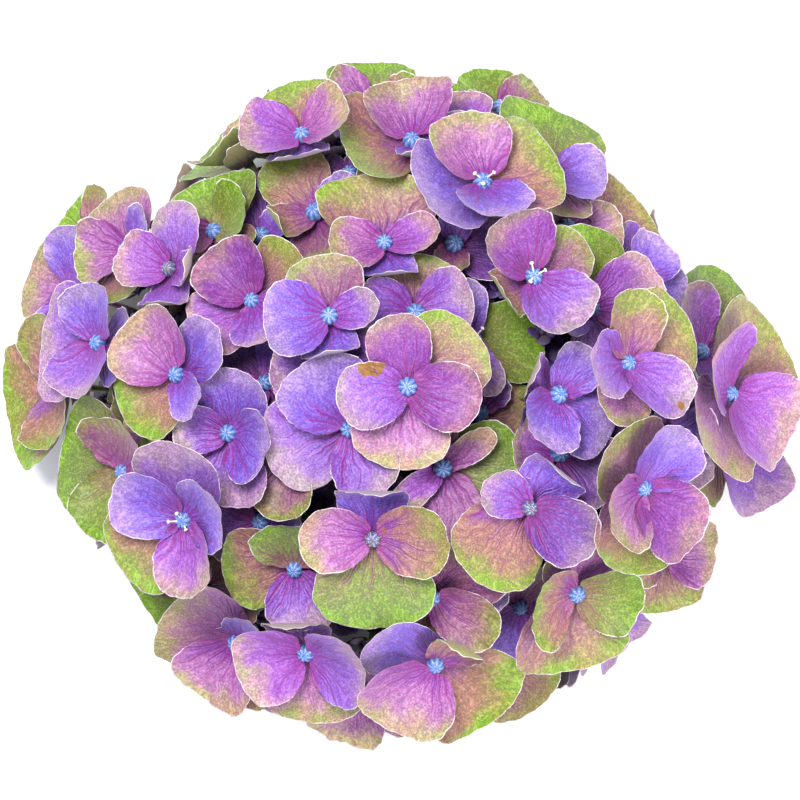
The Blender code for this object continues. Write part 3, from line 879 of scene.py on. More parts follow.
        # The net of the smallest veins.
        swirl = add(place, mottle.node.outputs["Color"], **VECTOR, operation="ADD")
        net = add(swirl, 1 / self.net_size, kind="ShaderNodeTexVoronoi", feature="DISTANCE_TO_EDGE")
        net = add(net, *self.net_line, **SOFT_STEP)
        net = add(net, add(streak, *self.net_streak, **SOFT_STEP), **LARGER)
        # Deep and pale tissue in the net, in patches, streaks and grains.
        shade = add(leafy, add(greening, *self.green_deep, **SOFT_STEP), **LARGER)
        shade = add(shade, colour(self.deep), colour(self.deep_green), **MIX)
        bright = add(self.brightness, ground, ground, **MIX, blend_type="SCREEN")
        tints = {
            "deep": add(self.deepness, ground, shade, **MIX),
            "pale": add(self.paleness, bright, colour(self.pale), **MIX),
        }
        patterns = {"mottle": mottle, "streak": streak, "grain": grain}
        ground = add(net, ground, tints["deep"], **MIX)
        for pattern, tint, step in self.tissue:
            ground = add(add(patterns[pattern], *step, **SOFT_STEP), ground, tints[tint], **MIX)
        leaf_lines = add(add(lines[0], leafy, **TIMES), self.leaf_line, **TIMES)
        ground = add(leaf_lines, ground, colour(self.leaf_vein), **MIX)
        ground = add(vein, ground, colour(self.vein_colour), **MIX)
        # A withered mark: a ragged brown spot at its own place.
        apart = add(place, mark, **VECTOR, operation="SUBTRACT")
        flat = add(apart, (1, 1, 0), **VECTOR, operation="MULTIPLY")
        distance = add(flat, **VECTOR, operation="LENGTH")
        radius = add(mark, **SPLIT, output="Z")
        ragged = add(warp, self.mark_raggedness, add(distance, radius, **MINUS), **TIMES_ADD)
        brown = add(mottle, colour(self.withered), colour(self.scorched), **MIX)
        ground = add(add(ragged, *self.mark_edge, **SOFT_STEP), ground, brown, **MIX)
        # The dull underside, and the pale rim with its gaps.
        back = add(self.dullness, tip, colour(self.underside), **MIX)
        ground = add(add(under, self.under_cover, **TIMES), ground, back, **MIX)
        paling = add(add(mottle, self.rim_raggedness, rim, **TIMES_ADD), *self.rim_edge, **SOFT_STEP)
        broken = add(share, *self.rim_start, **SOFT_STEP)
        broken = add(broken, add(warp, *self.rim_gaps, **SOFT_STEP), **TIMES)
        ground = add(add(paling, broken, **TIMES), ground, colour(self.rim_colour), **MIX)
        raised = add(add(streak, self.streak_relief, **TIMES), vein, **MINUS)
        return {
            "Base Color": ground, "Roughness": self.roughness, "IOR": self.ior, "Sheen Weight": self.sheen,
            "Sheen Roughness": self.sheen_roughness,
            "Normal": add(self.relief_strength, self.relief, None, raised, **BUMP),
        }


@dataclass
class Blade:
    """One visible sepal: thin, broad from its base and a little uneven."""

    floret: Floret
    sepal: Sepal
    number: int
    level: float = 0.0
    longer: float = 1.0
    wider: float = 1.0
    base_fullness: float = 0.38
    start: float = 0.03
    middle: float = 0.5
    roll_radius: float = 2.0 * MM
    roll_from: float = 9.0
    tip_power: float = 0.5
    roundness: float = 2.2
    lopsided: float = 0.0
    settled_from: float = 0.25
    outline_steps: int = 80
    plate_sides: int = 16
    plate_ring: float = 0.55

    def half_width(self, along: np.ndarray) -> np.ndarray:
        """Half the width: full near the base, with a round end.

        Args:
            along: shares of the visible length.

        Returns:
            The distances from the rib, in metres.
        """
        past = np.clip((along - WIDEST) / (1 - WIDEST), 0, 1)
        before = np.clip(along / WIDEST, 0, 1)
        end = (1 - past ** self.roundness) ** self.tip_power
        base = np.sin(math.pi / 2 * before) ** self.base_fullness
        return self.sepal.width / 2 * self.wider * np.where(along > WIDEST, end, base)

    def outline(self, count: int) -> tuple[np.ndarray, np.ndarray]:
        """Points spaced evenly round the rim.

        Args:
            count: how many.

        Returns:
            Their shares along the visible length, and their distances aside.
        """
        along = self.start + (1 - self.start) * np.sin(np.linspace(0, math.pi / 2, self.outline_steps))
        half = self.half_width(along)
        lengths = np.concatenate([along, along[::-1][1:]]) * self.sepal.length * self.longer
        sides = np.concatenate([-half * (1 - self.lopsided), half[::-1][1:] * (1 + self.lopsided)])
        run = np.concatenate([[0], np.cumsum(np.hypot(np.diff(lengths), np.diff(sides)))])
        even = np.linspace(0, run[-1], count)
        return np.interp(even, run, lengths) / (self.sepal.length * self.longer), np.interp(even, run, sides)

    def points(self, along: np.ndarray, side: np.ndarray, lift: np.ndarray, off: np.ndarray) -> np.ndarray:
        """Points of the blade in the part's frame.

        Args:
            along: shares of the visible length.
            side: distances from the rib, in metres.
            lift: how far the middle surface is moved there, in metres.
            off: distances off the middle surface, in metres.

        Returns:
            The points, one a row.
        """
        reach = along * self.longer
        turn = np.clip(reach - self.roll_from, 0, None) * self.sepal.length / self.roll_radius
        rolled = self.roll_from + self.roll_radius * np.sin(turn) / self.sepal.length
        reach = np.where(turn > 0, rolled, reach) - off * np.sin(turn) / self.sepal.length
        height = lift + self.roll_radius * (1 - np.cos(turn)) + off * np.cos(turn)
        height = height + self.level * np.clip(along / self.settled_from, 0, 1)
        place = np.array(self.floret.place)
        return self.sepal.surface(reach, side, height) @ place[:3, :3].T + place[:3, 3]

    def rings(self) -> np.ndarray:
        """Coarse points of the middle surface.

        Returns:
            Its middle, a ring half-way out and the rim, one point a row.
        """
        rim_along, rim_side = self.outline(self.plate_sides)
        shares = np.array([[0.0], [self.plate_ring], [1.0]])
        along = self.middle + shares * (rim_along - self.middle)
        return self.points(along, shares * rim_side, 0 * along, 0 * along).reshape(-1, 3)

    def lowest(self) -> float:
        """Height of the lowest point of its rim."""
        return float(self.rings()[:, 2].min())

    def plate(self) -> BVHTree:
        """A coarse plate in the blade's place.

        Returns:
            Its search tree.
        """
        count = self.plate_sides
        steps = [(i, (i + 1) % count) for i in range(count)]
        faces = [(0, count + i, count + j) for i, j in steps]
        faces += [(count + i, 2 * count + i, 2 * count + j, count + j) for i, j in steps]
        return BVHTree.FromPolygons([tuple(point) for point in self.rings()], faces)


@dataclass
class Dressing:
    """The visible sepals, each grown from its solid one until it meets its neighbours."""

    florets: list[Floret]
    lengths: tuple[float, ...] = (1.5, 1.35, 1.24, 1.16, 1.1, 1.05)
    widths: tuple[float, ...] = (1.45, 1.32, 1.2, 1.1)
    full: float = 1.16
    full_at_edge: float = 1.06
    fold_start: float = 0.38
    fold_targets: tuple[float, ...] = (122, 108, 96)
    narrow: float = 0.74
    sharpness: tuple[float, float] = (0.42, 0.68)
    lopsided: float = 0.14
    # The most sepals whose tiers need no steps, and the step between sepals of one tier.
    roomy: int = 4
    tier_step: float = 0.45 * MM
    reach: float = 48 * MM
    floor_gap: float = 0.8 * MM

    def sprouted(self) -> list[Blade]:
        """One blade for every sepal, each still the size of its solid one.

        Returns:
            The blades, front florets first.
        """
        blades = []
        for floret in self.florets:
            order = {0: 0, 1: 0}
            for sepal in floret.sepals:
                level = order[sepal.tier] * self.tier_step if len(floret.sepals) > self.roomy else 0
                order[sepal.tier] += 1
                rng = random.Random(SEED + len(blades))
                blade = Blade(floret, sepal, len(blades), level)
                blade.tip_power = rng.uniform(*self.sharpness)
                blade.lopsided = varied(rng, self.lopsided)
                blades.append(blade)
        return blades

    def meetings(self, blade: Blade, near: list[BVHTree]) -> int:
        """How many of the plates nearby a blade cuts."""
        plate = blade.plate()
        return sum(bool(plate.overlap(other)) for other in near)

    def fold(self, blade: Blade, near: list[BVHTree]) -> None:
        """Roll a blade's outer half up, as far as it cuts no more plates than before.

        Args:
            blade: the blade.
            near: the plates nearby.
        """
        sepal = blade.sepal
        rise = sepal.bowl.lift_at(sepal.angle)
        level = math.cos(rise)
        way = Vector((math.cos(sepal.angle) * level, math.sin(sepal.angle) * level, math.sin(rise)))
        leaning = math.asin((blade.floret.place.to_3x3() @ way).z)
        flat = (blade.roll_from, blade.roll_radius)
        met = self.meetings(blade, near)
        for target in self.fold_targets:
            blade.roll_from = self.fold_start
            blade.roll_radius = (1 - self.fold_start) * sepal.length / (math.radians(target) - leaning)
            if self.meetings(blade, near) <= met:
                break
            blade.roll_from, blade.roll_radius = flat

    def stretch(self, blade: Blade, near: list[BVHTree]) -> None:
        """Let a blade grow longer and then wider until it would meet its neighbours.

        Args:
            blade: the blade.
            near: the plates nearby.
        """
        most = self.full_at_edge if blade.floret.seat.node.startswith("edge") else self.full
        lengths = [size for size in self.lengths if size <= most / blade.sepal.share]
        for name, sizes in (("longer", lengths), ("wider", self.widths)):
            for size in sizes:
                setattr(blade, name, size)
                if blade.lowest() > self.floor_gap and not self.meetings(blade, near):
                    break
                setattr(blade, name, 1.0)

    def grow(self) -> list[Blade]:
        """Make all blades and let each grow, front florets first.

        Returns:
            The blades.
        """
        blades = self.sprouted()
        plates = [blade.plate() for blade in blades]
        for index, blade in enumerate(blades):
            middle = blade.floret.place.translation
            near = [
                plate for plate, rival in zip(plates, blades)
                if rival.floret is not blade.floret
                and (rival.floret.place.translation - middle).length < self.reach
            ]
            form = Form(blade.floret.seat.forms[blade.sepal.rank])
            if form in (Form.NARROW, Form.FOLDED):
                blade.wider = self.narrow
            if form is Form.FOLDED:
                self.fold(blade, near)
            elif form is Form.GROWN:
                self.stretch(blade, near)
            plates[index] = blade.plate()
        log.info("dressing: %d blades", len(blades))
        return blades


# What holds the numbers of each type of attribute.
FIELDS = {"FLOAT": "value", "FLOAT_VECTOR": "vector", "FLOAT_COLOR": "color"}


def store(mesh: bpy.types.Mesh, name: str, kind: str, values: Iterable, domain: str = "POINT") -> None:
    """Store what a mesh says at its points or faces."""
    mesh.attributes.new(name, kind, domain).data.foreach_set(FIELDS[kind], np.asarray(values, float).ravel())


def put(name: str, data: bpy.types.ID) -> bpy.types.Object:
    """Put a new object into the scene.

    Args:
        name: its name.
        data: its mesh, light or camera.

    Returns:
        The object.
    """
    obj = bpy.data.objects.new(name, data)
    bpy.context.scene.collection.objects.link(obj)
    return obj


def show_piece(mesh: bpy.types.Mesh, nodes: list[str]) -> None:
    """Show a finished mesh as a piece of the head.

    Args:
        mesh: the mesh, in place and with its material.
        nodes: the part's nodes that it stands for.
    """
    piece = put(mesh.name, mesh)
    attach(piece, BODY)
    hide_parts(*nodes)
    mesh.calc_loop_triangles()
    log.info("%s: %d triangles", mesh.name, len(mesh.loop_triangles))


@dataclass
class Sepals:
    """Blades whose nodes share a slot, as one mesh of closed thin solids."""

    name: str
    slot: str
    blades: list[Blade]
    rim_points: int = 66
    rows: tuple[float, ...] = (0.3, 0.55, 0.75, 0.9, 0.97)
    thickness: float = 0.15 * MM
    wave: float = 0.5 * MM
    lower_wave: float = 0.6
    wave_power: int = 4
    waves: tuple[int, ...] = (3, 4, 5)
    ripple_power: int = 6
    ripples: tuple[int, ...] = (9, 11, 13)
    fold: float = 0.9 * MM
    fold_start: float = 0.6
    fold_steepness: float = 5
    cup: float = 0.8 * MM
    cup_full: float = 0.5
    unevenness: float = 0.8
    upturn: float = 0.5 * MM
    upturn_power: int = 9
    nick: float = 0.012
    nick_power: int = 8
    scallop: float = 0.008
    scallop_turns: tuple[tuple[int, int], ...] = ((6, 9), (11, 17))
    groove: float = 0.28 * MM
    groove_width: float = 1.0 * MM
    groove_end: float = 1.1
    furthest_chance: float = 900.0
    greening_varies: tuple[float, float] = (0.5, 1.3)
    uv_fill: float = 0.92
    uv_margin: float = 0.04

    def by_vertex(self, top: np.ndarray, bottom: np.ndarray) -> np.ndarray:
        """Put a blade's values in the order of its vertices.

        Args:
            top: values of its upper face, row by row from the middle to the rim.
            bottom: values of its underside, the same way.

        Returns:
            One value a vertex: the upper face's with the rim, then the underside's without it.
        """
        return np.concatenate([top[0][:1], *top[1:], bottom[0][:1], *bottom[1:-1]])

    def shape(self, blade: Blade) -> tuple[np.ndarray, ...]:
        """The shape of one blade with what the finish reads there.

        Args:
            blade: the blade.

        Returns:
            One row a vertex: points, places aside and along in mm, distances from the rim in mm, and
            shares of the length.
        """
        rng = random.Random(SEED + blade.number * SEED_STRIDE)
        rim_along, rim_side = blade.outline(self.rim_points)
        shares = np.array([[0.0], *([row] for row in self.rows), [1.0]])
        around = np.linspace(0, 2 * math.pi, self.rim_points)[None, :]
        turns = [rng.randint(*span) for span in self.scallop_turns]
        scallops = sum(np.sin(around * turn + rng.uniform(0, ANY_TURN)) for turn in turns)
        torn = [rng.uniform(0, self.nick) for _ in range(self.rim_points)]
        nicks = 1 - (np.array(torn) + self.scallop * (scallops + len(turns))) * shares ** self.nick_power
        along = blade.middle + shares * nicks * (rim_along - blade.middle)
        side = shares * nicks * rim_side
        length, half = blade.sepal.length * blade.longer, blade.sepal.width / 2 * blade.wider
        flat = np.stack([side, along * length], axis=-1)
        gap = np.linalg.norm(flat[:, :, None, :] - flat[-1][None, None, :, :], axis=-1).min(axis=2)
        upper = blade.sepal.tier
        wave = self.wave * (1.0 if upper or blade.roll_from < 1 else self.lower_wave)
        # Waves and ripples of the rim, then a fold of the tip, a cup across, the upturned rim and the rib.
        waving = wave * shares ** self.wave_power
        lift = waving * np.sin(around * rng.choice(self.waves) + rng.uniform(0, ANY_TURN))
        rippling = wave / 2 * shares ** self.ripple_power
        lift += rippling * np.sin(around * rng.choice(self.ripples) + rng.uniform(0, ANY_TURN))
        fold = self.fold * rng.uniform(upper - self.unevenness, upper)
        lift += fold * np.clip(along - self.fold_start, 0, 1) ** 2 * self.fold_steepness
        cup = self.cup * rng.uniform(upper - self.unevenness, upper)
        lift += cup * (side / half) ** 2 * np.clip(along / self.cup_full, 0, 1)
        lift += self.upturn * upper * shares ** self.upturn_power
        groove = self.groove * np.exp(-((side / self.groove_width) ** 2))
        lift -= groove * np.clip(self.groove_end - along, 0, 1)
        body = self.thickness * (1 - shares ** 2) + 0 * side
        top, bottom = (blade.points(along, side, lift, off) for off in (body, -body))
        flat, gap, along = (self.by_vertex(values, values) for values in (flat / MM, gap / MM, along))
        return self.by_vertex(top, bottom), flat, gap, along

    def topology(self) -> tuple[list[tuple[int, ...]], list[int]]:
        """How the vertices of one blade are joined.

        Returns:
            Its faces, and for each whether it is on the underside.
        """
        count, rows = self.rim_points, len(self.rows)
        faces, under = [], []
        for face in (0, 1):
            middle = face * (1 + (rows + 1) * count)
            rings = [[middle + 1 + row * count + i for i in range(count)] for row in range(rows)]
            rings.append([1 + rows * count + i for i in range(count)])
            for i in range(count):
                j = (i + 1) % count
                loops = [(middle, rings[0][i], rings[0][j])]
                loops += [(a[i], b[i], b[j], a[j]) for a, b in zip(rings, rings[1:])]
                faces += [loop[::-1] if face else loop for loop in loops]
                under += [face] * len(loops)
        return faces, under

    def build(self) -> None:
        """Make the mesh, dress it and show it."""
        blade_faces, blade_under = self.topology()
        corners = np.concatenate([np.array(loop) for loop in blade_faces])
        sided = np.repeat(blade_under, [len(loop) for loop in blade_faces])
        cells = math.ceil(math.sqrt(2 * len(self.blades)))
        points, faces, uvs = [], [], []
        told = {name: [] for name in ("place", "lie", "mark", *TINTS)}
        for number, blade in enumerate(self.blades):
            solid, flat, gap, along = self.shape(blade)
            count = len(solid)
            points.append(solid)
            faces += [tuple(number * count + i for i in loop) for loop in blade_faces]
            seat, rank = blade.floret.seat, blade.sepal.rank
            blush = BLUSHES[seat.blushes.split()[rank]]
            rng = random.Random(SEED * number + blade.number)
            chance = rng.uniform(0, self.furthest_chance)
            greening = blush.greening * rng.uniform(*self.greening_varies)
            told["place"].append(np.column_stack([flat, np.full(count, chance)]))
            told["lie"].append(np.column_stack([gap, along, np.full(count, greening)]))
            told["mark"].append(np.tile(MARKS.get((seat.node, rank), NO_MARK), (count, 1)))
            # The claw tint holds painted shade by the bud as well as the sepal's own colour.
            for tint, code in zip(TINTS, (blush.claw, blush.middle, blush.tip)):
                told[tint].append(np.tile(colour(code), (count, 1)))
            # Each side of each blade has its own cell of the UV map, whose rows run upwards.
            scale = self.uv_fill / cells / np.ptp(flat, axis=0).max()
            cell = 2 * number + sided
            left, low = (cell % cells + 0.5) / cells, (cell // cells + self.uv_margin) / cells
            uvs.append(np.column_stack([left, low]) + (flat[corners] - [0, flat[:, 1].min()]) * scale)
        mesh = bpy.data.meshes.new(self.name)
        mesh.from_pydata(np.concatenate(points).tolist(), [], faces)
        for name, rows in told.items():
            store(mesh, name, "FLOAT_COLOR" if name in TINTS else "FLOAT_VECTOR", np.concatenate(rows))
        store(mesh, "under", "FLOAT", blade_under * len(self.blades), "FACE")
        mesh.uv_layers.new(name="OFBake").data.foreach_set("uv", np.concatenate(uvs).ravel())
        mesh.shade_smooth()
        mesh.materials.append(SepalFinish().material(self.name))
        show_piece(mesh, nodes_of(blade.floret for blade in self.blades))


def evaluated(name: str, source: bpy.types.Mesh, tree: bpy.types.NodeTree, inputs: dict) -> bpy.types.Mesh:
    """The plain mesh that a geometry node tree makes.

    Args:
        name: the mesh's name.
        source: the mesh that the tree starts from.
        tree: the geometry node tree.
        inputs: values of the tree's inputs, by name.

    Returns:
        The new mesh.
    """
    holder = put(name + "_source", source)
    modifier = holder.modifiers.new("Tree", "NODES")
    modifier.node_group = tree
    for item in tree.interface.items_tree:
        if item.in_out == "INPUT" and item.name in inputs:
            modifier[item.identifier] = inputs[item.name]
    mesh = bpy.data.meshes.new_from_object(holder.evaluated_get(bpy.context.evaluated_depsgraph_get()))
    holder.modifiers.clear()
    bpy.data.objects.remove(holder)
    mesh.name = name
    return mesh


def node_group(name: str, sockets: dict[str, str]) -> tuple[Callable, dict]:
    """A geometry node tree with a geometry in and out, and further named inputs.

    Args:
        name: the tree's name.
        sockets: type of each further input, by name.

    Returns:
        The function that adds nodes to the tree, and the sockets that its inputs give by name.
    """
    tree = bpy.data.node_groups.new(name, "GeometryNodeTree")
    for key, kind in {"Geometry": "Geometry", **sockets, "Material": "Material"}.items():
        tree.interface.new_socket(key, in_out="INPUT", socket_type="NodeSocket" + kind)
    tree.interface.new_socket("Geometry", in_out="OUTPUT", socket_type="NodeSocketGeometry")
    given = tree.nodes.new("NodeGroupInput").outputs
    return partial(add_node, tree), {socket.name: socket for socket in given if socket.name}


def finish_tree(add: Callable, given: dict, geometry: bpy.types.NodeSocket) -> bpy.types.NodeTree:
    """End a geometry node tree: realise its instances, smooth them and give them their material.

    Args:
        add: the function that adds nodes to the tree.
        given: the sockets that the tree's inputs give, by name.
        geometry: what the tree makes.

    Returns:
        The tree.
    """
    real = add(geometry, kind="GeometryNodeRealizeInstances")
    smooth = add(real, kind="GeometryNodeSetShadeSmooth")
    covered = add(smooth, None, given["Material"], kind="GeometryNodeSetMaterial")
    tree = covered.id_data
    tree.links.new(covered, tree.nodes.new("NodeGroupOutput").inputs[0])
    return tree


def set_on_points(add: Callable, given: dict, instance: bpy.types.NodeSocket) -> bpy.types.NodeSocket:
    """Instances on the points of a tree's geometry, turned and sized as the points say.

    Args:
        add: the function that adds nodes to the tree.
        given: the sockets that the tree's inputs give, by name.
        instance: what is set on every point.

    Returns:
        The instances.
    """
    turned = add("turned", kind="GeometryNodeInputNamedAttribute", data_type="FLOAT_VECTOR")
    size = add("size", kind="GeometryNodeInputNamedAttribute", data_type="FLOAT")
    return add(kind="GeometryNodeInstanceOnPoints", inputs={
        "Points": given["Geometry"], "Instance": instance,
        "Rotation": add(turned, kind="FunctionNodeEulerToRotation"),
        "Scale": add(size, given["Radius"], **TIMES),
    })


@dataclass(frozen=True)
class BudFinish(Finish):
    """A closed bud: waxy blue skin, its lobes paler with a speckled bloom and painted highlight, its furrows
    darker with painted shade; brown once it is spent.
    """

    skin: str = "#4a68a4"
    # The lobes' paler blue: a speckled bloom and painted highlight.
    bloom_and_highlight: str = "#98aecb"
    # The furrows' darker blue: painted shade.
    furrow: str = "#34508e"
    spent: str = "#5c3c22"
    roughness: float = 0.42
    glow: float = 0.15
    glow_depth: float = 0.8 * MM
    speck_scale: float = 4500.0
    speck_share: float = 2.4
    furrow_share: float = 0.7
    bloom_and_highlight_edge: Step = (1.38, 1.02)
    furrow_shade_edge: Step = (1.6, 2.1)
    spent_raggedness: float = 0.3
    spent_edge: Step = (0.12, 0.25)

    def sockets(self, add: Callable) -> dict:
        """What the shader's sockets get.

        Args:
            add: the function that adds nodes to the material.

        Returns:
            Values and outputs, by the sockets' names.
        """
        furrow, spent = (add(**ATTRIBUTE, output="Fac", attribute_name=told) for told in ("furrow", "spent"))
        # A bloom of specks about 0.2 mm wide.
        specks = add(add(**HERE), self.speck_scale, 3, **NOISE)
        where = add(specks, self.speck_share, add(furrow, self.furrow_share, **TIMES), **TIMES_ADD)
        skin = colour(self.skin)
        # Paler lobes are bloom and painted highlight; darker furrows are painted shade.
        for edge, tint in ((self.bloom_and_highlight_edge, self.bloom_and_highlight), (self.furrow_shade_edge, self.furrow)):
            skin = add(add(where, *edge, **SOFT_STEP), skin, colour(tint), **MIX)
        worn = add(add(spent, specks, -self.spent_raggedness, **TIMES_ADD), *self.spent_edge, **RAMP)
        return {
            "Base Color": add(worn, skin, colour(self.spent), **MIX), "Roughness": self.roughness,
            "Subsurface Weight": self.glow, "Subsurface Scale": self.glow_depth,
        }


@dataclass
class Buds:
    """The buds in the middle of the florets: lobed balls set on points."""

    florets: list[Floret]
    radius: float = 2.5 * MM
    height: float = 2.7 * MM
    lobes: float = 8.0
    furrow_depth: float = 0.12
    dimple: float = 0.22
    segments: int = 32
    rings: int = 14
    sizes: tuple[float, float] = (0.9, 1.06)
    spent_size: float = 0.85
    leaning: float = 0.2

    def seeds(self) -> bpy.types.Mesh:
        """One point a bud, with its turn, its size and whether it is spent.

        Returns:
            The points as a mesh.
        """
        mesh = bpy.data.meshes.new("bud_points")
        rng = random.Random(SEED)
        places, turns, sizes, spent = [], [], [], []
        for floret in self.florets:
            places.append(tuple(floret.place @ Vector((0, 0, self.height))))
            spin = Matrix.Rotation(rng.uniform(0, ANY_TURN), 4, "Z")
            spin = spin @ Matrix.Rotation(varied(rng, self.leaning), 4, "X")
            turns.append(tuple((floret.place @ spin).to_euler()))
            spent.append(floret.seat.bud is Bud.SPENT)
            sizes.append((self.spent_size if spent[-1] else 1.0) * rng.uniform(*self.sizes))
        mesh.from_pydata(places, [], [])
        store(mesh, "turned", "FLOAT_VECTOR", turns)
        store(mesh, "size", "FLOAT", sizes)
        store(mesh, "spent", "FLOAT", spent)
        return mesh

    def tree(self) -> bpy.types.NodeTree:
        """Geometry nodes that set a lobed ball on every point.

        Returns:
            The tree.
        """
        add, given = node_group("Lobed buds", {
            "Radius": "Float", "Lobes": "Float", "Furrow depth": "Float", "Dimple": "Float",
        })
        ball = add(self.segments, self.rings, 1.0, kind="GeometryNodeMeshUVSphere")
        where = add(kind="GeometryNodeInputPosition")
        x, y, z = add(where, **SPLIT).node.outputs
        around = add(add(y, x, **ARCTAN), add(given["Lobes"], 2.0, **OVER), **TIMES)
        furrow = add(1.0, add(add(around, **SINE), **UNSIGNED), **MINUS)
        aside = add(add(add(x, x, **TIMES), add(y, y, **TIMES), **ADD), **ROOT)
        carved = add(add(add(furrow, 2.0, **POWER), given["Furrow depth"], **TIMES), aside, **TIMES)
        dimple = add(add(z, 0.0, **ABOVE), given["Dimple"], **TIMES)
        sunk = add(dimple, add(add(1.0, aside, **MINUS), 2.0, **POWER), **TIMES)
        scale = add(add(1.0, carved, **MINUS), sunk, **MINUS)
        shaped = add(where, scale, **VECTOR, operation="SCALE")
        marked = add(ball, None, "furrow", furrow, kind="GeometryNodeStoreNamedAttribute")
        moved = add(marked, None, shaped, kind="GeometryNodeSetPosition")
        return finish_tree(add, given, set_on_points(add, given, moved))

    def build(self) -> None:
        """Make the buds' mesh and show it."""
        inputs = {
            "Radius": self.radius, "Lobes": self.lobes, "Furrow depth": self.furrow_depth,
            "Dimple": self.dimple, "Material": BudFinish().material("buds"),
        }
        show_piece(evaluated("buds", self.seeds(), self.tree(), inputs), nodes_of(self.florets))


@dataclass(frozen=True)
class LateFloretPaintedShadeFinish(Finish):
    """Late florets in the shade of the head: thin dull sepals, purple with greener patches, coloured dark as
    painted shade for the gaps between the open florets.
    """

    # Darkened purple, olive and mottle: painted shade for the gaps that these florets fill.
    purple: str = "#46286c"
    olive: str = "#56592a"
    mottle: str = "#58387e"
    roughness: float = 0.6
    # Patches about 10 mm wide and a mottle of 1 mm.
    patch_scale: float = 100.0
    patch_edge: Step = (0.45, 0.65)
    mottle_scale: float = 900.0

    def sockets(self, add: Callable) -> dict:
        """What the shader's sockets get.

        Args:
            add: the function that adds nodes to the material.

        Returns:
            Values and outputs, by the sockets' names.
        """
        here = add(**HERE)
        patches = add(add(here, self.patch_scale, 4, **NOISE), *self.patch_edge, **SOFT_STEP)
        skin = add(patches, colour(self.purple), colour(self.olive), **MIX)
        skin = add(add(here, self.mottle_scale, 3, **NOISE), skin, colour(self.mottle), **MIX)
        return {"Base Color": skin, "Roughness": self.roughness}


@dataclass
class LateFlorets:
    """Small late florets in the shade under the open ones: four little sepals round a bud, darkly coloured
    to fill the gaps between the open ones with painted shade.

    They lie on inner domes that stand on the floor, each with its reach and its top.
    """

    nodes: list[str]
    blades: list[Blade]
    count: int = 600
    radius: float = 9.0 * MM
    reaches: tuple[float, ...] = (83 * MM, 78 * MM, 72 * MM, 64 * MM)
    tops: tuple[float, ...] = (68 * MM, 61 * MM, 54 * MM, 47 * MM)
    widest: float = 84.0
    golden_angle: float = 137.508
    azimuth_varies: float = 6
    tilt_varies: float = 2
    sizes: tuple[float, float] = (0.75, 1.1)
    smallest: float = 0.3
    swell: float = 0.04
    leaning: float = 0.35
    sepals: int = 4
    segments: int = 10
    rings: int = 5
    # Sepal and bud in shares of the radius.
    sepal_place: tuple[float, float, float] = (0.52, 0, 0.1)
    sepal_turn: tuple[float, float, float] = (0.25, -0.35, 0)
    sepal_size: tuple[float, float, float] = (0.5, 0.47, 0.03)
    bud_place: tuple[float, float, float] = (0, 0, 0.14)
    bud_size: tuple[float, float, float] = (0.2, 0.2, 0.2)
    hub_radius: float = 0.001

    def seeds(self) -> bpy.types.Mesh:
        """Points in a spiral over the domes, each floret as large as its neighbours let it be.

        Returns:
            The points as a mesh, with each one's turn and size.
        """
        mesh = bpy.data.meshes.new("late_points")
        plates = [blade.plate() for blade in self.blades]
        rng = random.Random(SEED + 2)
        places, turns, sizes = [], [], []
        cap = 1 - math.cos(math.radians(self.widest))
        for number in range(self.count):
            tilt = math.degrees(math.acos(1 - cap * (number + 0.5) / self.count))
            azimuth = self.golden_angle * number + varied(rng, self.azimuth_varies)
            outward = direction(azimuth, tilt + varied(rng, self.tilt_varies))
            layer = number % len(self.reaches)
            swell = 1 + varied(rng, self.swell)
            reach, top = self.reaches[layer] * swell, self.tops[layer] * swell
            point = Vector((outward.x * reach, outward.y * reach, outward.z * top))
            size = rng.uniform(*self.sizes)
            for plate in plates:
                distance = plate.find_nearest(point, self.radius * size)[3]
                size = size if distance is None else distance / self.radius
            if size < self.smallest or point.z < size * self.radius:
                continue
            lean = Vector((varied(rng, self.leaning), varied(rng, self.leaning), 0))
            turned = (outward + lean).to_track_quat("Z", "Y").to_matrix()
            turned = turned @ Matrix.Rotation(rng.uniform(0, ANY_TURN), 3, "Z")
            places.append(tuple(point))
            turns.append(tuple(turned.to_euler()))
            sizes.append(size)
        mesh.from_pydata(places, [], [])
        store(mesh, "turned", "FLOAT_VECTOR", turns)
        store(mesh, "size", "FLOAT", sizes)
        return mesh

    def tree(self) -> bpy.types.NodeTree:
        """Geometry nodes that set a small floret on every point.

        Returns:
            The tree.
        """
        add, given = node_group("Late florets", {"Radius": "Float", "Sepals": "Int"})
        ball = add(self.segments, self.rings, 1.0, kind="GeometryNodeMeshUVSphere")
        sepal = add(ball, self.sepal_place, self.sepal_turn, self.sepal_size, kind="GeometryNodeTransform")
        bud = add(ball, self.bud_place, None, self.bud_size, kind="GeometryNodeTransform")
        hub = add(given["Sepals"], self.hub_radius, kind="GeometryNodeMeshCircle")
        step = add(2 * math.pi, given["Sepals"], **OVER)
        angle = add(add(kind="GeometryNodeInputIndex"), step, **TIMES)
        turned = add(add(None, None, angle, **JOIN), kind="FunctionNodeEulerToRotation")
        whorl = add(kind="GeometryNodeInstanceOnPoints", inputs={
            "Points": hub, "Instance": sepal, "Rotation": turned,
        })
        floret = add([whorl, bud], kind="GeometryNodeJoinGeometry")
        return finish_tree(add, given, set_on_points(add, given, floret))

    def build(self) -> None:
        """Make the late florets' mesh and show it."""
        finish = LateFloretPaintedShadeFinish().material("late_florets")
        inputs = {"Radius": self.radius, "Sepals": self.sepals, "Material": finish}
        show_piece(evaluated("late_florets", self.seeds(), self.tree(), inputs), self.nodes)


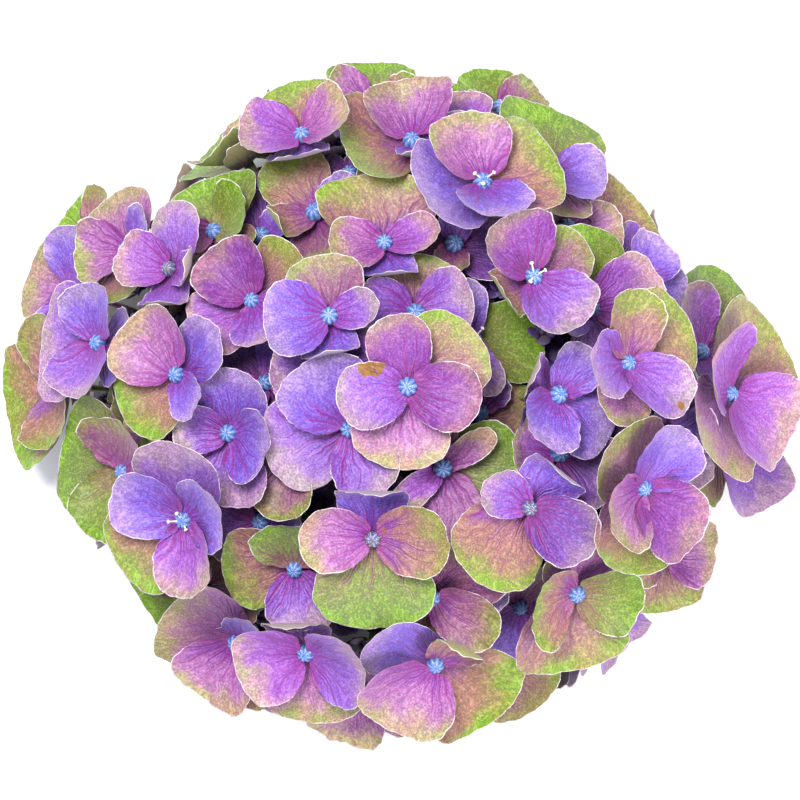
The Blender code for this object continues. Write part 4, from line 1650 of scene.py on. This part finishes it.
@dataclass(frozen=True)
class StalkFinish(Finish):
    """Fresh green stalk: smooth waxy skin with fine pale pores, flushed with purple in patches."""

    green: str = "#6f8a3c"
    flush: str = "#7d4a78"
    pore: str = "#b9b48a"
    roughness: float = 0.45
    relief_strength: float = 0.4
    relief: float = 0.1 * MM
    # Patches about 12 mm long, and pores about 1 mm apart.
    patch_scale: float = 80.0
    patch_edge: Step = (0.4, 0.62)
    pore_scale: float = 900.0
    pore_edge: Step = (0.6, 0.7, 0.0, 0.5)

    def sockets(self, add: Callable) -> dict:
        """What the shader's sockets get.

        Args:
            add: the function that adds nodes to the material.

        Returns:
            Values and outputs, by the sockets' names.
        """
        here = add(**HERE)
        patches = add(add(here, self.patch_scale, 3, **NOISE), *self.patch_edge, **SOFT_STEP)
        pores = add(here, self.pore_scale, 2, **NOISE)
        skin = add(patches, colour(self.green), colour(self.flush), **MIX)
        skin = add(add(pores, *self.pore_edge, **RAMP), skin, colour(self.pore), **MIX)
        raised = add(self.relief_strength, self.relief, None, pores, **BUMP)
        return {"Base Color": skin, "Roughness": self.roughness, "Normal": raised}


@dataclass
class Run:
    """A line that a tube follows: points and the tube's radius at each."""

    points: list[Vector]
    radii: list[float]


@dataclass
class Tubes:
    """Tubes with a fine relief that follow runs, as one piece."""

    name: str
    slot: str
    nodes: list[str]
    runs: list[Run]
    sides: int = 12
    relief: float = 0.12 * MM
    relief_scale: float = 300.0
    material: bpy.types.Material | None = None

    def seeds(self) -> bpy.types.Mesh:
        """The runs as edges.

        Returns:
            Them as a mesh, with the tube's radius at each point.
        """
        points, edges, radii = [], [], []
        for run in self.runs:
            first = len(points)
            points += [tuple(point) for point in run.points]
            edges += [(first + i, first + i + 1) for i in range(len(run.points) - 1)]
            radii += run.radii
        mesh = bpy.data.meshes.new(self.name + "_runs")
        mesh.from_pydata(points, edges, [])
        store(mesh, "thick", "FLOAT", radii)
        return mesh

    def tree(self) -> bpy.types.NodeTree:
        """Geometry nodes that sweep a round profile along every run and roughen it.

        Returns:
            The tree.
        """
        add, given = node_group("Tubes " + self.name, {"Sides": "Int", "Relief": "Float"})
        curve = add(given["Geometry"], kind="GeometryNodeMeshToCurve")
        thick = add("thick", kind="GeometryNodeInputNamedAttribute", data_type="FLOAT")
        ring = add(given["Sides"], 1.0, kind="GeometryNodeCurvePrimitiveCircle")
        swept = add(curve, ring, thick, True, kind="GeometryNodeCurveToMesh")
        noise = add(add(kind="GeometryNodeInputPosition"), self.relief_scale, 2, **NOISE)
        height = add(add(noise, -0.5, **ADD), given["Relief"], **TIMES)
        offset = add(add(kind="GeometryNodeInputNormal"), height, **VECTOR, operation="SCALE")
        rough = add(swept, None, None, offset, kind="GeometryNodeSetPosition")
        return finish_tree(add, given, rough)

    def build(self) -> None:
        """Make the tubes' mesh and show it."""
        material = self.material or StalkFinish().material(self.name)
        inputs = {"Sides": self.sides, "Relief": self.relief, "Material": material}
        show_piece(evaluated(self.name, self.seeds(), self.tree(), inputs), self.nodes)


@dataclass(frozen=True)
class StamenFinish(Finish):
    """White stamens: dull threads and knobs, dusted with cream pollen."""

    thread: str = "#e9e8dc"
    pollen: str = "#cfc7a0"
    roughness: float = 0.6
    # Grains of pollen about 0.7 mm apart, coarser than life so that they show.
    grain_scale: float = 1500.0

    def sockets(self, add: Callable) -> dict:
        """What the shader's sockets get.

        Args:
            add: the function that adds nodes to the material.

        Returns:
            Values and outputs, by the sockets' names.
        """
        grains = add(add(**HERE), self.grain_scale, **NOISE)
        tint = add(grains, colour(self.thread), colour(self.pollen), **MIX)
        return {"Base Color": tint, "Roughness": self.roughness}


@dataclass
class Stamens:
    """The few stamens that stand out of each open bud."""

    florets: list[Floret]
    count: int = 3
    sides: int = 10
    length: float = 3.8 * MM
    lengths: tuple[float, float] = (0.6, 1.1)
    sunk: float = 1.2 * MM
    tilts: tuple[float, float] = (45, 80)
    turn_varies: float = 25
    shares: tuple[float, ...] = (0, 0.3, 0.6, 0.8, 0.84, 0.9, 0.96, 1.0)
    radii: tuple[float, ...] = (0.22, 0.2, 0.2, 0.2, 0.45, 0.62, 0.45, 0.05)

    def runs(self) -> list[Run]:
        """One run a stamen, from the bud's crown outwards and up.

        Returns:
            The runs.
        """
        rng = random.Random(SEED + 1)
        start = Vector((0, 0, BUD_TOP - self.sunk))
        runs = []
        for floret in self.florets:
            first = rng.uniform(0, 360)
            for number in range(self.count):
                azimuth = first + 360 * number / self.count + varied(rng, self.turn_varies)
                way = direction(azimuth, rng.uniform(*self.tilts))
                length = self.length * rng.uniform(*self.lengths)
                points = [floret.place @ (start + way * (length * share)) for share in self.shares]
                runs.append(Run(points, [radius * MM for radius in self.radii]))
        return runs

    def build(self) -> None:
        """Show the stamens."""
        nodes, finish = nodes_of(self.florets), StamenFinish().material("stamens")
        Tubes("stamens", "violet", nodes, self.runs(), self.sides, 0.0, material=finish).build()


@dataclass
class Branching:
    """The stalks, sprays, rays and stem under the florets.

    Each kind of run has its radii at even shares of its length, from its foot to its top.
    """

    head: Head
    stalk_radius: float = 0.8 * MM
    stalk_shares: tuple[float, ...] = (1.1, 1, 0.9, 1, 1.1, 2.0)
    fork_radii: tuple[float, ...] = (0.96 * MM, 0.88 * MM, 1.04 * MM, 1.5 * MM, 0.8 * MM)
    twig_radius: float = 1.05 * MM
    twig_shares: tuple[float, ...] = (1.2, 1, 0.9, 0.9)
    ray_radius: float = 1.9 * MM
    ray_shares: tuple[float, ...] = (1, 0.92, 0.9, 1, 2.9 / 1.9, 0.8)
    ray_knuckle: float = 2.9 * MM
    ray_sides: int = 16
    ray_relief: float = 0.2 * MM
    stem_heights: tuple[float, ...] = (0, 0.6, 2, 4, 6, 7.4, 8.6, 10, 11.6, 13, 14.3, 15.1)
    stem_radii: tuple[float, ...] = (4.1, 4.2, 4.1, 3.9, 4.0, 4.3, 4.9, 5.15, 4.9, 4.2, 2.9, 0.9)
    stem_sides: int = 48
    stem_relief: float = 0.3 * MM
    steps: int = 8

    def arc(self, start: Vector, out: Vector, end: Vector, into: Vector, radii: Iterable[float]) -> Run:
        """A smooth run between two points.

        Args:
            start: its first point.
            out: its direction there.
            end: its last point.
            into: its direction there.
            radii: radii at even shares of it.

        Returns:
            The run.
        """
        pull = (end - start).length / 3
        shares = np.linspace(0, 1, self.steps + 1)
        points = [
            start * (1 - t) ** 3 + (start + out * pull) * (3 * t * (1 - t) ** 2)
            + (end - into * pull) * (3 * t * t * (1 - t)) + end * t ** 3
            for t in shares
        ]
        radii = list(radii)
        return Run(points, list(np.interp(shares, np.linspace(0, 1, len(radii)), radii)))

    def stalks(self) -> list[Run]:
        """Every floret's stalk up to its hub, and the fork of every spray.

        Returns:
            The runs.
        """
        runs = []
        for floret in self.head.florets:
            axis = floret.place.col[2].to_3d()
            hub = floret.place @ Vector((0, 0, HUB_TIERS[-1]))
            radii = [self.stalk_radius * share for share in self.stalk_shares]
            runs.append(self.arc(floret.start, floret.outward, hub, axis, radii))
        for node, (foot, outward) in self.head.feet.items():
            if self.head.shared[node]:
                fork = foot + outward * SPRAY_FORK_RISE
                runs.append(self.arc(foot, outward, fork, outward, self.fork_radii))
        return runs

    def rays(self) -> dict[str, list[Run]]:
        """The central ray, the side rays and their twigs.

        Returns:
            The runs of each ray, by its node.
        """
        ways = {"central_ray": Vector((0, 0, 1))}
        for number in range(SIDE_RAYS):
            azimuth = FIRST_SIDE_RAY + 360 * number / SIDE_RAYS
            ways[f"side_ray_{number + 1}"] = direction(azimuth, SIDE_RAY_TILT)
        fork = Vector((0, 0, STEM_FORK_HEIGHT))
        twig_radii = [self.twig_radius * share for share in self.twig_shares]
        runs = {}
        for name, outward in ways.items():
            knuckle = HEART + outward * RAY_REACH
            along = (knuckle - fork).normalized()
            base = fork + along * (STEM_KNUCKLE_RADIUS + JOINT_GAP)
            radii = [self.ray_radius * share for share in self.ray_shares]
            runs[name] = [self.arc(base, along, knuckle + along * self.ray_knuckle, along, radii)]
            for foot, foot_outward in self.head.feet.values():
                if max(ways.values(), key=lambda way: way.dot(foot_outward)) is outward:
                    tip = foot - foot_outward * JOINT_GAP
                    twig = (tip - knuckle).normalized()
                    runs[name].append(self.arc(knuckle, twig, tip, twig, twig_radii))
        return runs

    def stem(self) -> Run:
        """The short stem from its cut to its knuckle."""
        points = [Vector((0, 0, height * MM)) for height in self.stem_heights]
        return Run(points, [radius * MM for radius in self.stem_radii])

    def build(self) -> None:
        """Show the stalks, the rays and the stem."""
        Tubes("stalks", "stem", sorted(self.head.feet), self.stalks()).build()
        rays = self.rays()
        runs = [run for group in rays.values() for run in group]
        Tubes("rays", "stem", list(rays), runs, self.ray_sides, self.ray_relief).build()
        Tubes("stem", "stem", ["stem"], [self.stem()], self.stem_sides, self.stem_relief).build()


@dataclass(frozen=True)
class FloorFinish(Finish):
    """White matt card: pressed fibre with hardly any sheen, a little cloudy and grained."""

    white: str = "#f6f6f6"
    cloud: str = "#eeeeee"
    roughness: float = 0.9
    relief_strength: float = 0.15
    relief: float = 0.05 * MM
    # Clouds about 30 mm wide, and fibres about 1 mm apart.
    cloud_scale: float = 30.0
    fibre_scale: float = 900.0

    def sockets(self, add: Callable) -> dict:
        """What the shader's sockets get.

        Args:
            add: the function that adds nodes to the material.

        Returns:
            Values and outputs, by the sockets' names.
        """
        here = add(**HERE)
        tint = add(add(here, self.cloud_scale, **NOISE), colour(self.white), colour(self.cloud), **MIX)
        fibres = add(here, self.fibre_scale, **NOISE)
        raised = add(self.relief_strength, self.relief, None, fibres, **BUMP)
        return {"Base Color": tint, "Roughness": self.roughness, "Normal": raised}


@dataclass(frozen=True)
class Lamp:
    """A square soft light: its place, its width in metres and its power in watts."""

    name: str
    place: tuple[float, float, float]
    size: float
    power: float


@dataclass
class Studio:
    """A plain floor, soft light and the camera that looks down on the head."""

    floor_size: float = 4.0
    picture_width: float = 208 * MM
    picture_middle: float = 2.6 * MM
    sensor: float = 36.0
    sky: str = "#eff3fc"
    sky_strength: float = 1.1
    lamps: tuple[Lamp, ...] = (
        Lamp("key", (-0.25, 0.35, 1.15), 0.4, 22),
        Lamp("fill", (0.7, -0.6, 0.65), 0.6, 12),
    )
    lit: tuple[float, float, float] = (0, 0, 40 * MM)

    def build(self) -> None:
        """Make the floor, the lights and the camera."""
        scene = bpy.context.scene
        half = self.floor_size / 2
        mesh = bpy.data.meshes.new("floor")
        corners = [(-half, -half, 0), (half, -half, 0), (half, half, 0), (-half, half, 0)]
        mesh.from_pydata(corners, [], [(0, 1, 2, 3)])
        mesh.materials.append(FloorFinish().material("floor"))
        put("floor", mesh)
        scene.world = bpy.data.worlds.new("studio")
        scene.world.use_nodes = True
        sky = scene.world.node_tree.nodes["Background"].inputs
        sky["Color"].default_value = colour(self.sky)
        sky["Strength"].default_value = self.sky_strength
        for lamp in self.lamps:
            light = bpy.data.lights.new(lamp.name, "AREA")
            light.size = lamp.size
            light.energy = lamp.power
            obj = put(lamp.name, light)
            obj.location = lamp.place
            obj.rotation_euler = (Vector(self.lit) - obj.location).to_track_quat("-Z", "Y").to_euler()
        camera = put("camera", bpy.data.cameras.new("camera"))
        camera.data.type = "PERSP"
        camera.data.sensor_width = self.sensor
        camera.data.lens = self.sensor * VIEW_DISTANCE / self.picture_width
        camera.location = (0, self.picture_middle, DOME_TOP + VIEW_DISTANCE)
        scene.camera = camera
        scene.view_settings.view_transform = "Standard"


SLOTS = {entry["node"]: entry["material_slot"] for entry in frame["record"]["subparts"]}


def main() -> None:
    """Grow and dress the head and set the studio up."""
    logging.basicConfig(level=logging.INFO, format="%(message)s")
    head = Head()
    head.grow()
    groups: dict[str, list[Blade]] = {}
    grown = Dressing(head.florets).grow()
    for blade in grown:
        kind = "_under" if blade.floret.seat.level == UNDER_LEVEL else ""
        groups.setdefault(SLOTS[blade.floret.seat.node] + kind, []).append(blade)
    for name, blades in groups.items():
        Sepals("sepals_" + name, name.removesuffix("_under"), blades).build()
    Buds(head.florets).build()
    Stamens([floret for floret in head.florets if floret.seat.bud is Bud.OPEN]).build()
    LateFlorets(sorted(node for node in head.feet if SLOTS[node] == "violet"), grown).build()
    Branching(head).build()
    Studio().build()


if __name__ == "__main__":
    main()
